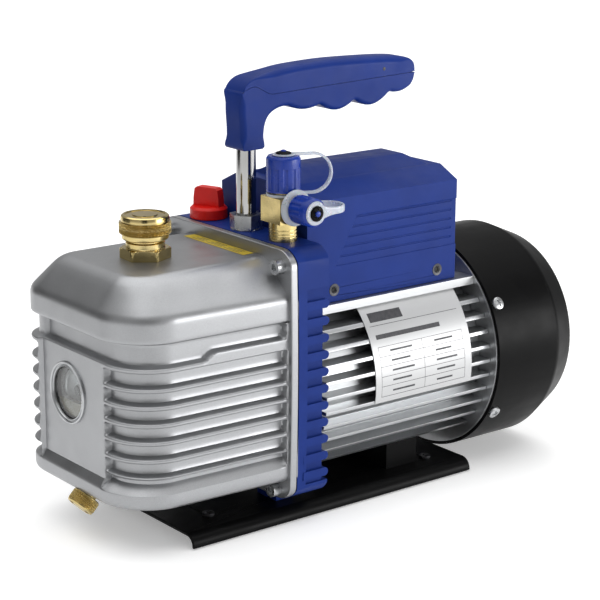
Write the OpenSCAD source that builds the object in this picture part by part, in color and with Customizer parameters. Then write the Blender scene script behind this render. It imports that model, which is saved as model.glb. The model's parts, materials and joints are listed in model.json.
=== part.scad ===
// Two-stage rotary vane vacuum pump with a direct drive motor, carry handle and oil tank.
// X runs from the oil tank to the fan cover and Z is up. The origin is on the ground,
// under the middle of the pump. Inside at_flange(), x = 0 is the joint between the oil
// tank's flange and the bracket, so every part states its distance from that joint.

/* [Layout] */
// Height of the shaft axis above the ground
axis_z = 72.1; // [72:0.1:72.4]
// Distance from the bracket joint to the rear of the fan cover
rear_x = 220.8; // [220:0.1:224]
// Distance from the bracket joint to the centre line of the handle, intake and ballast valve
top_row_x = 10.7; // [10:0.1:11.2]

/* [Base plate] */
// Front end of the plate, before the bracket joint
plate_front = 66; // [60:1:70]
// Rear end of the plate, behind the bracket joint
plate_rear = 142.5; // [136:0.5:148]
// Half the width of the plate
plate_half = 54.5; // [52:0.5:56]
// Height of the plate's upper face
plate_top = 8.5; // [8.2:0.1:8.6]
// Thickness of the sheet
plate_t = 2; // [1.5:0.1:2.5]
// Outer radius of the long bent edges
plate_bend_r = 7; // [5:0.5:7.3]
// Diameter of the rubber feet
foot_d = 17; // [14:1:20]

/* [Oil tank] */
// Length of the tank in front of the bracket joint, to its front face
tank_len = 105; // [104.5:0.1:105.5]
// How far the bottom skirt and the shoulder band stand in front of that face
tank_lip = 3; // [2.5:0.1:3.2]
// Half the width of the tank at its front
tank_half = 57.5; // [57:0.1:58]
// How much wider each side is where it meets the flange
tank_flare = 3.5; // [3:0.1:4]
// Height of the underside of the tank
tank_bottom = 28; // [27.6:0.1:28.4]
// Height of the crease where the shoulders begin, at the flange
tank_crease = 135; // [134.5:0.5:136]
// Height of the flat top
tank_top = 156; // [155.8:0.1:156.4]
// Half the width of the flat top
tank_top_half = 40; // [38:0.5:41]
// Radius of the near upright corner at the front
tank_near_r = 29; // [27:0.5:30]
// Radius of the far upright corner at the front
tank_far_r = 15.5; // [14:0.5:17]
// Wall thickness of the casting
tank_wall = 6; // [5.5:0.1:6.2]
// Spacing of the cooling slots
slot_pitch = 10; // [9.8:0.1:10]
// Depth of the cooling slots
slot_depth = 4; // [2:0.1:4.2]

/* [Bracket] */
// Thickness of the bracket
bracket_len = 18.5; // [18:0.1:19]
// Half the width of the bracket and the tank flange at mid height
bracket_half = 64; // [63:0.1:64.5]
// Height of the underside of the bracket
bracket_bottom = 16.1; // [15.5:0.1:16.5]
// Height of the top of the bracket
bracket_top = 162.7; // [162:0.1:163]
// Thickness of the tank's flange
flange_t = 5; // [4.5:0.1:5.5]

/* [Motor] */
// Radius over the tips of the cooling fins
fin_tip_r = 61.5; // [60:0.1:62]
// Spacing of the cooling fins
fin_pitch = 9; // [8.8:0.1:9.2]
// Thickness of a cooling fin
fin_t = 2.2; // [2:0.1:2.6]
// Outer radius of the motor tube under the fins
tube_r = 52; // [51:0.5:53]
// Radius of the fan cover
cover_r = 69; // [68.5:0.1:69]
// Where the fan cover starts, behind the bracket joint
cover_front = 151; // [150.5:0.5:152]

/* [Terminal box] */
// Front end of the box
box_front = 23; // [22.8:0.1:23.5]
// Rear end of the box
box_rear = 137.5; // [137:0.1:138]
// Half the width of the box
box_half = 41.2; // [41:0.1:42]
// Height of the underside of the box
box_bottom = 122.3; // [122.1:0.1:122.6]
// Height where the top chamfers begin
box_shoulder = 183; // [182:0.5:184]
// Height of the flat roof
box_roof = 190.3; // [189.5:0.1:191]
// Wall thickness of the plastic box
box_wall = 2.5; // [2:0.1:3]

/* [Handle] */
// Half the thickness of the grip
grip_half = 9; // [8:0.1:10]
// Diameter of the steel post
post_d = 11.5; // [11:0.1:12]
// Height of the underside of the handle's leg
leg_bottom = 210; // [209:0.5:214]

/* [Pump] */
// Bore radius of both stages
stage_r = 26; // [25.8:0.1:26.1]
// Rotor radius of both stages
rotor_r = 22.5; // [22.3:0.1:22.5]
// Outer radius of the stage castings
stage_outer_r = 37.5; // [37:0.1:37.8]

/* [Hidden] */

$fn = 96;
drain_tilt = 45;                  // drain points down and forward
drain_r = 8.5;
drain_len = 8;
drain_x = -tank_len + 1.5;        // centre of the drain cap
drain_z = tank_bottom - 6.7;
drain_tip = drain_x - (drain_len / 2 + drain_r) * cos(drain_tilt);
flange_x = -(rear_x + drain_tip) / 2;   // puts the origin under the middle of the pump

intake_y = -35;
ballast_y = 37.4;
port_z = 183;                     // height of the side intake port
top_cap_z = 191;                  // underside of the top intake cap
side_cap_y = -50;                 // inner end of the side intake cap
filler_x = -59;
sight_y = 10.4;
sight_z = 83.1;
tank_mouth = 46.3;                // half the width of the tank's opening at its flange
bolt_upper = [53.6, 153.3];       // flange bolts, across and up
bolt_lower = [50, 21.5];
foot_x = [-41, 121];              // feet along the plate
foot_y = [33, 36];                // and half their spacing across it
mount_y = 30;                     // bolts that hold the bracket and the motor on the plate
stage_drop = stage_r - rotor_r - 0.08;  // the stage bores sit below the shaft axis
stage_flat = 33;                  // height of the flat over the stages, above the axis
pump_bolt_r = 32.6;               // circle of the four long pump bolts
vane_root = 9.5;                  // distance from the axis to the floor of a vane slot
vane_t = 4;
channel_z = 92;                   // intake channel from the bracket into the pump
stator_r = 47;                    // bore of the motor tube
stator_x = [48, 112];
front_bearing_x = 19.5;
rear_bearing_x = 144;
bearing_w = 11;
bearing_r = 17.5;
bearing_bore = 7.5;
ball_pitch_r = 12.5;
switch_y = -29.5;
switch_z = 168;
inlet_y = 10;
inlet_z = 160;
seam_z = 243.8;                   // joint between the grip and its cover
grip_end = 130;
top_strap_turn = -20;             // the top strap points this way, seen from above

// ---- helpers ----

// Moves a part from the bracket joint's frame to the pump's own frame
module at_flange() translate([flange_x, 0, 0]) children();

// Extrudes an outline drawn in (Y, Z) from x0 to x1
module along_x(x0, x1) translate([x0, 0, 0]) rotate([90, 0, 90]) linear_extrude(x1 - x0) children();

// Extrudes an outline drawn in (X, Z) from y0 to y1
module along_y(y0, y1) translate([0, y1, 0]) rotate([90, 0, 0]) linear_extrude(y1 - y0) children();

// A shaft-axis cylinder from x0 to x1
module axis_cyl(x0, x1, r) translate([x0, 0, axis_z]) rotate([0, 90, 0]) cylinder(h = x1 - x0, r = r);

// A shaft-axis tube from x0 to x1
module axis_tube(x0, x1, r, bore) difference() {
    axis_cyl(x0, x1, r);
    axis_cyl(x0 - 1, x1 + 1, bore);
}

module ring(h, r, bore) difference() {
    cylinder(h = h, r = r);
    translate([0, 0, -1]) cylinder(h = h + 2, r = bore);
}

// A hexagon by its size across the flats
module hexagon(flats) circle(r = flats / sqrt(3), $fn = 6);

// A rounded rectangle centred on its own middle
module round_rect(w, h, r) {
    square([w - 2 * r, h], center = true);
    square([w, h - 2 * r], center = true);
    for (x = [-1, 1], y = [-1, 1])
        translate([x * (w / 2 - r), y * (h / 2 - r)]) circle(r = r);
}

// A tapered box: its outline in (Y, Z) cut by its outline in (X, Z)
module crossed(x0, x1, half) intersection() {
    along_x(x0, x1) children(0);
    along_y(-half, half) children(1);
}

// ---- base ----

module base_plate() color("#1b1b1e") at_flange() {
    bend_y = plate_half - plate_bend_r;
    bend_z = plate_top - plate_bend_r;
    difference() {
        along_x(-plate_front, plate_rear) {
            translate([-bend_y, plate_top - plate_t]) square([2 * bend_y, plate_t]);
            for (s = [0, 1]) mirror([s, 0]) {
                intersection() {
                    translate([bend_y, bend_z]) difference() {
                        circle(r = plate_bend_r);
                        circle(r = plate_bend_r - plate_t);
                    }
                    translate([bend_y, bend_z]) square(plate_bend_r + 1);
                }
                translate([plate_half - plate_t, 0.8]) square([plate_t, bend_z - 0.8]);
            }
        }
        for (i = [0, 1], s = [-1, 1])
            translate([foot_x[i], s * foot_y[i], 0]) cylinder(h = 20, r = 2.1);
        for (p = mounting_points())
            translate([p[0], p[1], 0]) cylinder(h = 20, r = 3.1);
    }
}

function mounting_points() = [for (x = [9, 100], s = [-1, 1]) [x, s * mount_y]];

module rubber_feet() color("#141414") at_flange()
    for (i = [0, 1], s = [-1, 1])
        translate([foot_x[i], s * foot_y[i], 0]) difference() {
            cylinder(h = plate_top - plate_t, r = foot_d / 2);
            translate([0, 0, 2]) cylinder(h = 20, r = 2);
        }

module foot_screws() color("#55565a") at_flange()
    for (i = [0, 1], s = [-1, 1])
        translate([foot_x[i], s * foot_y[i], 0]) difference() {
            union() {
                translate([0, 0, 2]) cylinder(h = plate_top - 2, r = 2);
                translate([0, 0, plate_top]) cylinder(h = 1.6, r = 3.6);
            }
            translate([0, 0, plate_top + 0.6]) cross_slot(4.6, 1);
        }

module cross_slot(reach, w) for (a = [0, 90]) rotate(a)
    translate([-reach / 2, -w / 2, 0]) cube([reach, w, 5]);

// Block between the plate and the motor tube, below the lowest fins
module motor_saddle() color("#26272a") at_flange() difference() {
    along_x(88, 112) difference() {
        translate([-38, plate_top]) square([76, axis_z - 5 * fin_pitch - fin_t / 2 - plate_top]);
        translate([0, axis_z]) circle(r = tube_r + 0.1);
    }
    for (s = [-1, 1]) translate([100, s * mount_y, 0]) cylinder(h = 16.5, r = 3);
}

// Mounting bolts under the plate, the pump's long bolts and the motor's tie bolts
module hex_bolts() color("#8b8d90") at_flange() {
    for (p = mounting_points()) translate([p[0], p[1], plate_top - plate_t]) hex_bolt(3, 10, 10, 4);
    for (a = [45, 135, 225, 315]) {
        translate([-66.1, pump_bolt_r * cos(a), axis_z + pump_bolt_r * sin(a)])
            rotate([0, 90, 0]) hex_bolt(2.5, 65, 8, 4);
        translate([153, 42 * cos(a), axis_z + 42 * sin(a)]) rotate([0, -90, 0]) hex_bolt(2.5, 132, 8, 4);
    }
}

// A bolt whose head is below z = 0 and whose shank points up
module hex_bolt(r, shank, flats, head) {
    cylinder(h = shank, r = r);
    translate([0, 0, -head]) linear_extrude(head) hexagon(flats);
}

// ---- bracket and tank ----

// Outline shared by the bracket and the tank flange: straight ends, slightly bowed sides
module bracket_outline(inset) {
    mid_z = (bracket_top + bracket_bottom) / 2;
    h = bracket_top - bracket_bottom - 2 * inset;
    bow_r = 1600;
    intersection() {
        translate([0, mid_z]) round_rect(2 * (bracket_half - inset), h, 13 - inset);
        translate([bow_r - bracket_half + inset, mid_z]) circle(r = bow_r, $fn = 720);
        translate([bracket_half - inset - bow_r, mid_z]) circle(r = bow_r, $fn = 720);
    }
}

module pump_bracket() color("#1f3d94") at_flange() {
    rib_count = 11;
    rib_z = 30.2;
    rib_t = 5;
    rib_end_r = rib_t / 2;
    side = 2.5;
    difference() {
        union() {
            difference() {
                along_x(0, bracket_len) bracket_outline(0);
                for (s = [-1, 1]) along_x(6, bracket_len + 1)
                    translate([s * (bracket_half - side / 2 + 1), (25 + 140) / 2])
                        square([side + 2, 140 - 25], center = true);
            }
            // smooth blocks at the top and the bottom reach a little further back
            intersection() {
                along_x(bracket_len - 1, bracket_len + 3.3) bracket_outline(0);
                union() {
                    along_x(0, 30) translate([-80, 140]) square([160, 40]);
                    along_x(0, 30) translate([-80, 0]) square([160, 25]);
                }
            }
            // side ribs with round rear ends
            for (i = [0 : rib_count - 1], s = [0, 1]) mirror([0, s, 0])
                along_y(bracket_half - 9, bracket_half - 0.6)
                    translate([0, rib_z + i * 10]) {
                        translate([4, -rib_t / 2]) square([bracket_len - 4 + 0.8, rib_t]);
                        translate([bracket_len + 0.8, 0]) circle(r = rib_end_r);
                    }
            // feet that stand on the base plate
            for (s = [-1, 1]) translate([3, s * mount_y - 9, plate_top]) cube([12, 18, 12]);
        }
        axis_cyl(-1, bracket_len + 5, 22);
        axis_cyl(bracket_len + 0.2, bracket_len + 5, tube_r + 0.2);
        translate([top_row_x, intake_y, 152]) cylinder(h = 20, r = 6.5);
        translate([top_row_x, intake_y, 90]) cylinder(h = 65, r = 4);
        translate([-1, intake_y, channel_z]) rotate([0, 90, 0]) cylinder(h = top_row_x + 1, r = 3);
        translate([top_row_x, ballast_y, 148]) cylinder(h = 20, r = 7);
        translate([top_row_x, 0, 148]) cylinder(h = 20, r = 5);
        for (b = [bolt_upper, bolt_lower], s = [-1, 1])
            translate([-1, s * b[0], b[1]]) rotate([0, 90, 0]) cylinder(h = 14, r = 2.5);
        for (s = [-1, 1]) translate([9, s * mount_y, 0]) cylinder(h = 16.5, r = 3);
    }
}

// One half of the tank's plan, shrunk by inset; lip moves its front face forward
module half_plan(inset, lip, corner_r) {
    x0 = -tank_len - lip + inset;
    half = tank_half - inset;
    r = corner_r + lip - inset;
    side_x = tank_near_r - tank_len;
    translate([x0 + r, 0]) square([-x0 - r, half]);
    translate([x0, 0]) square([-x0, half - r]);
    translate([x0 + r, half - r]) circle(r = r);
    polygon([[side_x, half - 1], [side_x, half], [0, half + tank_flare], [0, half - 1]]);
}

// The tank's outer form, shrunk by inset: plan, end view and side view crossed
module tank_form(inset, lip = 0) {
    x0 = -tank_len - lip + inset;
    half = tank_half + tank_flare - inset;
    low = tank_bottom + inset;
    high = tank_top - inset;
    crease = tank_crease - inset / 2;
    top_half = tank_top_half - inset / 2;
    foot = tank_flare + 5;
    slope = 14;
    intersection() {
        translate([0, 0, low]) linear_extrude(high - low) {
            half_plan(inset, lip, tank_far_r);
            mirror([0, 1]) half_plan(inset, lip, tank_near_r);
        }
        along_x(x0, 0) polygon([
            [-half + foot, low], [half - foot, low], [half, low + foot], [half, crease],
            [top_half, high], [-top_half, high], [-half, crease], [-half, low + foot]
        ]);
        along_y(-half, half) polygon([
            [0, low], [x0 + 5, low], [x0, low + 5], [x0, crease], [x0 + slope, high], [0, high]
        ]);
    }
}

// The skirt below the slots and the band above them, which stand proud at the front
module tank_bands() {
    span = 2 * (tank_half + tank_flare);
    intersection() {
        tank_form(0, tank_lip);
        translate([-tank_len - tank_lip, -span / 2, 0]) union() {
            cube([tank_len, span, 39]);
            translate([0, 0, 122.7]) cube([tank_len, span, 40]);
        }
    }
}

// Space between two insets of the tank's form, cut to what its children cover
module tank_skin(depth) intersection() {
    difference() {
        tank_form(-0.5);
        tank_form(depth);
    }
    children();
}

module tank_slots() {
    rows = 6;
    rib = 2.5;
    wrap_near = -26;
    wrap_far = 44;
    end_x = -5.5;
    x0 = -tank_len - 1;
    side = tank_half + tank_flare + 1;
    // one above the other on the near side, ending on the front face, and on the far side
    for (i = [0 : rows - 1]) {
        z = 98.2 - i * slot_pitch;
        top = i == 0 ? z + 8.5 : z + slot_pitch - rib;
        translate([x0, -side, z]) cube([end_x - x0, side + wrap_near, top - z]);
        translate([x0, wrap_far, z]) cube([end_x - x0, side - wrap_far, top - z]);
    }
    // the wide groove below the shoulder runs round the front and is deeper there
    translate([x0, -side, 109.4]) cube([-56 - x0, 2 * side, 13.3]);
    for (y = [-side, wrap_far]) translate([-57, y, 113.4]) cube([57 + end_x, side - wrap_far, 9.3]);
    // the lowest slot has a slanted rear end
    along_y(-side, wrap_near) polygon([
        [x0, 39], [-13, 39], [-9, 41], [end_x, 45.7], [x0, 45.7]
    ]);
}

module oil_tank() color("#b9bbbd") at_flange() {
    boss_r = 19.5;
    difference() {
        union() {
            difference() {
                union() {
                    tank_form(0);
                    tank_bands();
                }
                difference() {
                    tank_form(tank_wall);
                    // bosses left standing inside for the sight glass and the drain
                    translate([-tank_len, sight_y, sight_z]) rotate([0, 90, 0]) cylinder(h = 11, r = boss_r);
                    drain_frame() translate([0, 0, -16]) cylinder(h = 12, r = 8);
                }
                tank_skin(slot_depth) tank_slots();
            }
            along_x(-flange_t, -0.4) difference() {
                bracket_outline(0);
                translate([0, (tank_top + tank_bottom) / 2])
                    square([2 * tank_mouth, tank_top - tank_bottom - 2 * tank_wall], center = true);
            }
            drain_frame() translate([0, 0, -14]) cylinder(h = 9.7, r = 8);
        }
        translate([-0.4, -100, -1]) cube([10, 200, 200]);
        translate([-tank_len - 1, sight_y, sight_z]) rotate([0, 90, 0]) cylinder(h = 14, r = 15);
        translate([-tank_len - 1, sight_y, sight_z]) rotate([0, 90, 0]) cylinder(h = 6, r = 17);
        translate([filler_x, 0, tank_top - 10]) cylinder(h = 20, r = 9);
        drain_frame() translate([0, 0, -20]) cylinder(h = 20, r = 5);
        for (b = [bolt_upper, bolt_lower], s = [-1, 1])
            translate([-8, s * b[0], b[1]]) rotate([0, 90, 0]) cylinder(h = 10, r = 2.6);
    }
}

module tank_gasket() color("#2b2b2b") at_flange() difference() {
    along_x(-0.4, 0) difference() {
        bracket_outline(0.4);
        translate([0, (tank_top + tank_bottom) / 2])
            square([2 * tank_mouth, tank_top - tank_bottom - 2 * tank_wall], center = true);
    }
    for (b = [bolt_upper, bolt_lower], s = [-1, 1])
        translate([-8, s * b[0], b[1]]) rotate([0, 90, 0]) cylinder(h = 10, r = 2.6);
}

module tank_screws() color("#c9ccd0") at_flange()
    for (b = [bolt_upper, bolt_lower], s = [-1, 1])
        translate([-flange_t, s * b[0], b[1]]) rotate([0, -90, 0]) difference() {
            union() {
                translate([0, 0, -16]) cylinder(h = 17, r = 2.5);
                cylinder(h = 5, r = 4.25);
            }
            translate([0, 0, 2.4]) linear_extrude(5) hexagon(4);
        }

module caution_label() color("#e2c40f") at_flange()
    translate([-9.2, 0, tank_top]) translate([-3.8, -29, 0]) cube([7.6, 58, 0.25]);

// ---- sight glass ----

module sight_frame() translate([-tank_len, sight_y, sight_z]) rotate([0, -90, 0]) children();

module sight_ring() color("#c6c8ca") at_flange() sight_frame()
    translate([0, 0, 0]) ring(1.4, 18, 15.4);

module sight_seal() color("#111111") at_flange() sight_frame()
    translate([0, 0, -5]) ring(5, 17, 14.4);

module sight_glass() color("#9fb4b8") at_flange() sight_frame()
    translate([0, 0, -4]) cylinder(h = 3.4, r = 14.4);

module sight_reflector() color("#d8dadb") at_flange() sight_frame() {
    translate([0, 0, -9]) cylinder(h = 1, r = 15);
    translate([0, 0, -8]) cylinder(h = 1.6, r = 2.2);
}

// ---- filler and drain ----

module filler_neck() color("#c19a3e") at_flange() translate([filler_x, 0, 0]) difference() {
    union() {
        translate([0, 0, tank_top - 8]) cylinder(h = 8, r = 9);
        translate([0, 0, tank_top]) linear_extrude(6) rotate(24.6) hexagon(25.4);
        translate([0, 0, tank_top + 6]) cylinder(h = 4.2, r = 11);
        translate([0, 0, tank_top + 10]) cylinder(h = 10, r = 9.8);
    }
    translate([0, 0, tank_top - 10]) cylinder(h = 40, r = 7);
}

module filler_seal() color("#202020") at_flange()
    translate([filler_x, 0, tank_top + 20.1]) ring(1.6, 9.8, 4);

module filler_cap() color("#c19a3e") at_flange() translate([filler_x, 0, tank_top + 10.5]) {
    knurls = 36;
    difference() {
        union() {
            cylinder(h = 3.8, r = 13.1);
            translate([0, 0, 3.8]) cylinder(h = 6.4, r = 14);
            translate([0, 0, 10.2]) cylinder(h = 4, r = 13.5);
        }
        translate([0, 0, -1]) cylinder(h = 12.3, r = 10.1);
        translate([0, 0, 13]) ring(2, 11, 6.5);
        for (i = [0 : knurls - 1]) rotate(i * 360 / knurls)
            translate([14.2, 0, 3.8]) cylinder(h = 6.4, r = 0.6, $fn = 4);
    }
}

// Origin at the centre of the drain cap, +Z pointing out of the drain
module drain_frame() translate([drain_x, 0, drain_z]) rotate([0, -90 - drain_tilt, 0]) children();

module drain_neck() color("#c19a3e") at_flange() drain_frame() difference() {
    union() {
        translate([0, 0, -15]) cylinder(h = 10.5, r = 5);
        translate([0, 0, -4.6]) cylinder(h = 5.4, r = 5);
    }
    translate([0, 0, -16]) cylinder(h = 20, r = 3);
}

module drain_seal() color("#202020") at_flange() drain_frame()
    translate([0, 0, 0.9]) ring(1, 5, 1.5);

module drain_cap() color("#c19a3e") at_flange() drain_frame() {
    knurls = 30;
    difference() {
        translate([0, 0, -drain_len / 2]) cylinder(h = drain_len, r = drain_r);
        translate([0, 0, -drain_len / 2 - 1]) cylinder(h = 7, r = 5.2);
        for (i = [0 : knurls - 1]) rotate(i * 360 / knurls + 6)
            translate([drain_r, 0, -2.6]) cylinder(h = 5.2, r = 0.45, $fn = 4);
        translate([0, 0, drain_len / 2 - 0.8]) ring(2, 6.6, 4.4);
    }
}

// ---- ballast valve ----

module ballast_sleeve() color("#a8842f") at_flange() translate([top_row_x, ballast_y, 148]) difference() {
    cylinder(h = bracket_top - 148, r = 7);
    translate([0, 0, 4]) cylinder(h = 20, r = 4.05);
    translate([0, 0, -1]) cylinder(h = 6, r = 2);
}

module ballast_knob() color("#d3231c") at_flange() translate([top_row_x, ballast_y, 0]) {
    translate([0, 0, 153]) cylinder(h = 11, r = 4);
    translate([0, 0, bracket_top + 0.4]) cylinder(h = 5.4, r = 11.2);
    translate([0, 0, bracket_top + 5.8]) cylinder(h = 1.4, r1 = 11.2, r2 = 9.8);
    rotate(-69) along_y(-3, 3) translate([0, bracket_top]) polygon([
        [-9, 7.2], [9, 7.2], [8.8, 12], [8, 17.2], [6.4, 18.4], [-6.4, 18.4], [-8, 17.2], [-8.8, 12]
    ]);
}

// ---- handle ----

module handle_post() color("#d5d8dc") at_flange() translate([top_row_x, 0, 0]) {
    translate([0, 0, 150]) cylinder(h = bracket_top - 150, r = 5);
    translate([0, 0, bracket_top]) cylinder(h = 238 - bracket_top, r = post_d / 2);
}

module handle_nut() color("#b9bcc0") at_flange() translate([top_row_x, 0, bracket_top]) difference() {
    union() {
        cylinder(h = 1, r = 9.2);
        translate([0, 0, 1]) linear_extrude(8) rotate(10) hexagon(17);
    }
    translate([0, 0, -1]) cylinder(h = 12, r = post_d / 2);
}

// Side outline of the whole handle, leg and grip in one closed line
function handle_outline() = concat(
    [[2, leg_bottom + 1.5], [2, 226], [1.4, 233], [2.4, 239], [5.2, 246], [13.5, 251.6], [33, 255]],
    [[52, 256.2], [71, 256.6], [100, 255.9], [119, 254.6], [127.5, 252], [grip_end, 246.5]],
    [[129, 240.4], [127, 236.6], [121, 233.6], [114.5, 233.4]],
    [for (k = [0 : 3], a = [0 : 1 : 4]) finger_point(k, a)],
    [[31, 232.8], [23, 229.8], [18.5, 224], [17.6, 216], [17.4, leg_bottom + 1.5], [16, leg_bottom]],
    [[3.5, leg_bottom]]
);

// Points of one finger bump under the grip, from the rear to the front
bump_x = [111.5, 84.5, 58.5, 34.5];
bump_z = [233.6, 231.4, 231.2, 232.9];
bump_low = [228.6, 227, 228.8];
function finger_point(k, a) = k == 3 ? [bump_x[3] - a * 0.2, bump_z[3]] :
    [bump_x[k] + (bump_x[k + 1] - bump_x[k]) * a / 5,
     bump_z[k] + (bump_z[k + 1] - bump_z[k]) * a / 5
         - (bump_z[k] - bump_low[k]) * sin(180 * a / 5)];

module handle_grip() color("#22388f") at_flange() difference() {
    intersection() {
        along_y(-grip_half, grip_half) polygon(handle_outline());
        along_y(-20, 20) polygon([
            [0, 200], [140, 200], [140, seam_z + 1], [26, seam_z - 2.8], [19, seam_z - 1.6],
            [9.5, seam_z + 2.4], [0, seam_z - 1.2]
        ]);
    }
    translate([top_row_x, 0, 200]) cylinder(h = 38.5, r = post_d / 2);
}

module handle_cover() color("#24409c") at_flange() difference() {
    intersection() {
        along_y(-grip_half, grip_half) polygon(handle_outline());
        along_y(-20, 20) polygon([
            [0, seam_z - 0.9], [9.5, seam_z + 2.7], [19, seam_z - 1.3], [26, seam_z - 2.5],
            [140, seam_z + 1.3], [140, 260], [0, 260]
        ]);
    }
    for (s = [-1, 1]) translate([103, s * grip_half, 246.8]) rotate([90, 0, 0]) cylinder(h = 3, r = 1, center = true);
}

// ---- intake ----

module intake_body() color("#b08d3c") at_flange() translate([top_row_x, intake_y, 0]) difference() {
    union() {
        translate([0, 0, 152.5]) cylinder(h = bracket_top - 152.5, r = 6.5);
        translate([0, 0, bracket_top]) cylinder(h = 11, r = 8.2);
        translate([-9, -9, 173.6]) cube([18, 18, 14.6]);
        translate([0, 0, 188]) cylinder(h = 2.6, r = 7.2);
        translate([0, 0, 190]) cylinder(h = 14.6, r = 6.4);
        translate([0, -8, port_z]) rotate([90, 0, 0]) cylinder(h = 6.8, r = 5.25);
        translate([0, 0, port_z]) rotate([90, 0, 0]) cylinder(h = 25, r = 5);
    }
    translate([0, 0, 154]) cylinder(h = 60, r = 4);
    translate([0, 0, 150]) cylinder(h = 10, r = 3.2);
    translate([0, 0, port_z]) rotate([90, 0, 0]) cylinder(h = 30, r = 3);
    for (z = [165, 167, 169]) translate([0, 0, z]) ring(0.8, 9, 7.8);
}

module intake_screen() color("#bfc2c4") at_flange() translate([top_row_x, intake_y, 152]) difference() {
    cylinder(h = 0.5, r = 6.4);
    for (a = [0 : 60 : 300]) rotate(a) translate([2.4, 0, -1]) cylinder(h = 4, r = 0.7);
    translate([0, 0, -1]) cylinder(h = 4, r = 0.7);
}

// A ribbed cap, open at the bottom, of the given height and radius
module ribbed_cap(h, r, bore, depth) {
    ribs = 12;
    difference() {
        union() {
            cylinder(h = h - 1.5, r = r);
            translate([0, 0, h - 1.5]) cylinder(h = 1.5, r1 = r, r2 = r - 1);
        }
        translate([0, 0, -1]) cylinder(h = depth + 1, r = bore);
        for (i = [0 : ribs - 1]) rotate(i * 360 / ribs)
            translate([r + 1.6, 0, h * 0.06]) cylinder(h = h * 0.62, r = 2.2);
    }
}

module top_cap() color("#1d3fb0") at_flange()
    translate([top_row_x, intake_y, top_cap_z]) ribbed_cap(20, 9.75, 6.75, 15.2);

module top_cap_seal() color("#202020") at_flange()
    translate([top_row_x, intake_y, top_cap_z + 13.8]) ring(1.2, 6.3, 2);

module side_frame() translate([top_row_x, side_cap_y, port_z]) rotate([90, 0, 0]) children();

module side_cap() color("#1d3fb0") at_flange() side_frame() ribbed_cap(14, 8.15, 5.4, 11.6);

module side_cap_seal() color("#202020") at_flange() side_frame() translate([0, 0, 10.2]) ring(1.2, 5, 2);

module top_cap_button() color("#2c56c8") at_flange()
    translate([top_row_x, intake_y, top_cap_z + 20]) button();

module side_cap_button() color("#2c56c8") at_flange() side_frame() translate([0, 0, 14]) button();

// Rivet and push nut that hold a strap on its cap
module button() {
    cylinder(h = 2.2, r = 1.5);
    translate([0, 0, 1.4]) cylinder(h = 0.8, r = 4.4);
    translate([0, 0, 2.2]) cylinder(h = 1, r1 = 2.2, r2 = 1.4);
}

// Half of a flat ring that joins two straight bands, all of one width
module strap_loop(gap, reach, band, width) {
    outer = gap / 2;
    translate([0, 0, -width / 2]) linear_extrude(width) {
        translate([reach - outer, 0]) difference() {
            circle(r = outer);
            circle(r = outer - band);
            translate([-2 * outer, -outer]) square([2 * outer, 2 * outer]);
        }
        for (s = [-1, 1]) translate([0, s * (outer - band / 2) - band / 2]) square([reach - outer, band]);
    }
}

module top_cap_strap() color("#d9dde6") at_flange() translate([top_row_x, intake_y, 0]) difference() {
    union() {
        translate([0, 0, top_cap_z + 20]) cylinder(h = 1.2, r = 6.4);
        translate([0, 0, 188.3]) cylinder(h = 1.6, r = 9.6);
        rotate(top_strap_turn) translate([0, 0, 200.25]) rotate([90, 0, 0]) difference() {
            strap_loop(23.9, 29, 1.6, 3);
            translate([-20, -20, -5]) cube([24, 40, 10]);
        }
    }
    translate([0, 0, 180]) cylinder(h = 10.5, r = 7.35);
    translate([0, 0, 205]) cylinder(h = 10, r = 1.6);
    translate([0, 0, top_cap_z - 0.3]) cylinder(h = 20.3, r = 10.1);
}

module side_cap_strap() color("#d9dde6") at_flange() translate([top_row_x, 0, port_z]) difference() {
    union() {
        translate([0, side_cap_y - 14, 0]) rotate([90, 0, 0]) cylinder(h = 1.2, r = 6.8);
        translate([0, -46, 0]) rotate([90, 0, 0]) cylinder(h = 1.8, r = 10.4);
        translate([0, -55.6, 0]) strap_loop(19.2, 25, 1.5, 4);
    }
    translate([0, -40, 0]) rotate([90, 0, 0]) cylinder(h = 10, r = 5.3);
    translate([0, -60, 0]) rotate([90, 0, 0]) cylinder(h = 10, r = 1.6);
    translate([0, side_cap_y + 0.3, 0]) rotate([90, 0, 0]) cylinder(h = 14.3, r = 8.5);
    translate([-20, -70, -5]) cube([20, 25, 10]);
}

// ---- pump module ----

module pump_front_plate() color("#6d7074") at_flange() difference() {
    union() {
        axis_cyl(-8, 0, stage_outer_r);
        along_x(-8, 0) translate([-45, 78]) square([90, 24]);
    }
    axis_cyl(-9, 1, 6.05);
    axis_cyl(-5, 1, 12);
    pump_bolt_holes(-9, 1);
    // intake channel: in from the bracket, across, and out into stage one
    translate([-5, intake_y, channel_z]) rotate([0, 90, 0]) cylinder(h = 6, r = 3);
    translate([-4, intake_y, channel_z]) rotate([90 + 28, 0, 0]) mirror([0, 0, 1]) cylinder(h = 17, r = 1.8);
    translate([-9, -20, 84]) rotate([0, 90, 0]) cylinder(h = 6, r = 1.8);
}

module pump_bolt_holes(x0, x1) for (a = [45, 135, 225, 315])
    translate([x0, pump_bolt_r * cos(a), axis_z + pump_bolt_r * sin(a)])
        rotate([0, 90, 0]) cylinder(h = x1 - x0, r = 2.5);

// Both stage bodies, the plate between them and the end plate, as separate solids
module stage_housings() color("#84888c") at_flange() {
    stage_body(-36, -8);
    difference() {
        stage_blank(-42, -36.1);
        axis_cyl(-43, -36, 6.05);
        pump_bolt_holes(-43, -36);
    }
    stage_body(-58, -42.1);
    difference() {
        stage_blank(-66, -58.1);
        axis_cyl(-64, -58, 6.05);
        pump_bolt_holes(-67, -58);
    }
}

// A casting with a flat on top for the exhaust valve
module stage_blank(x0, x1) intersection() {
    axis_cyl(x0, x1, stage_outer_r);
    translate([x0 - 1, -50, axis_z - 50]) cube([x1 - x0 + 2, 100, 50 + stage_flat]);
}

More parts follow.
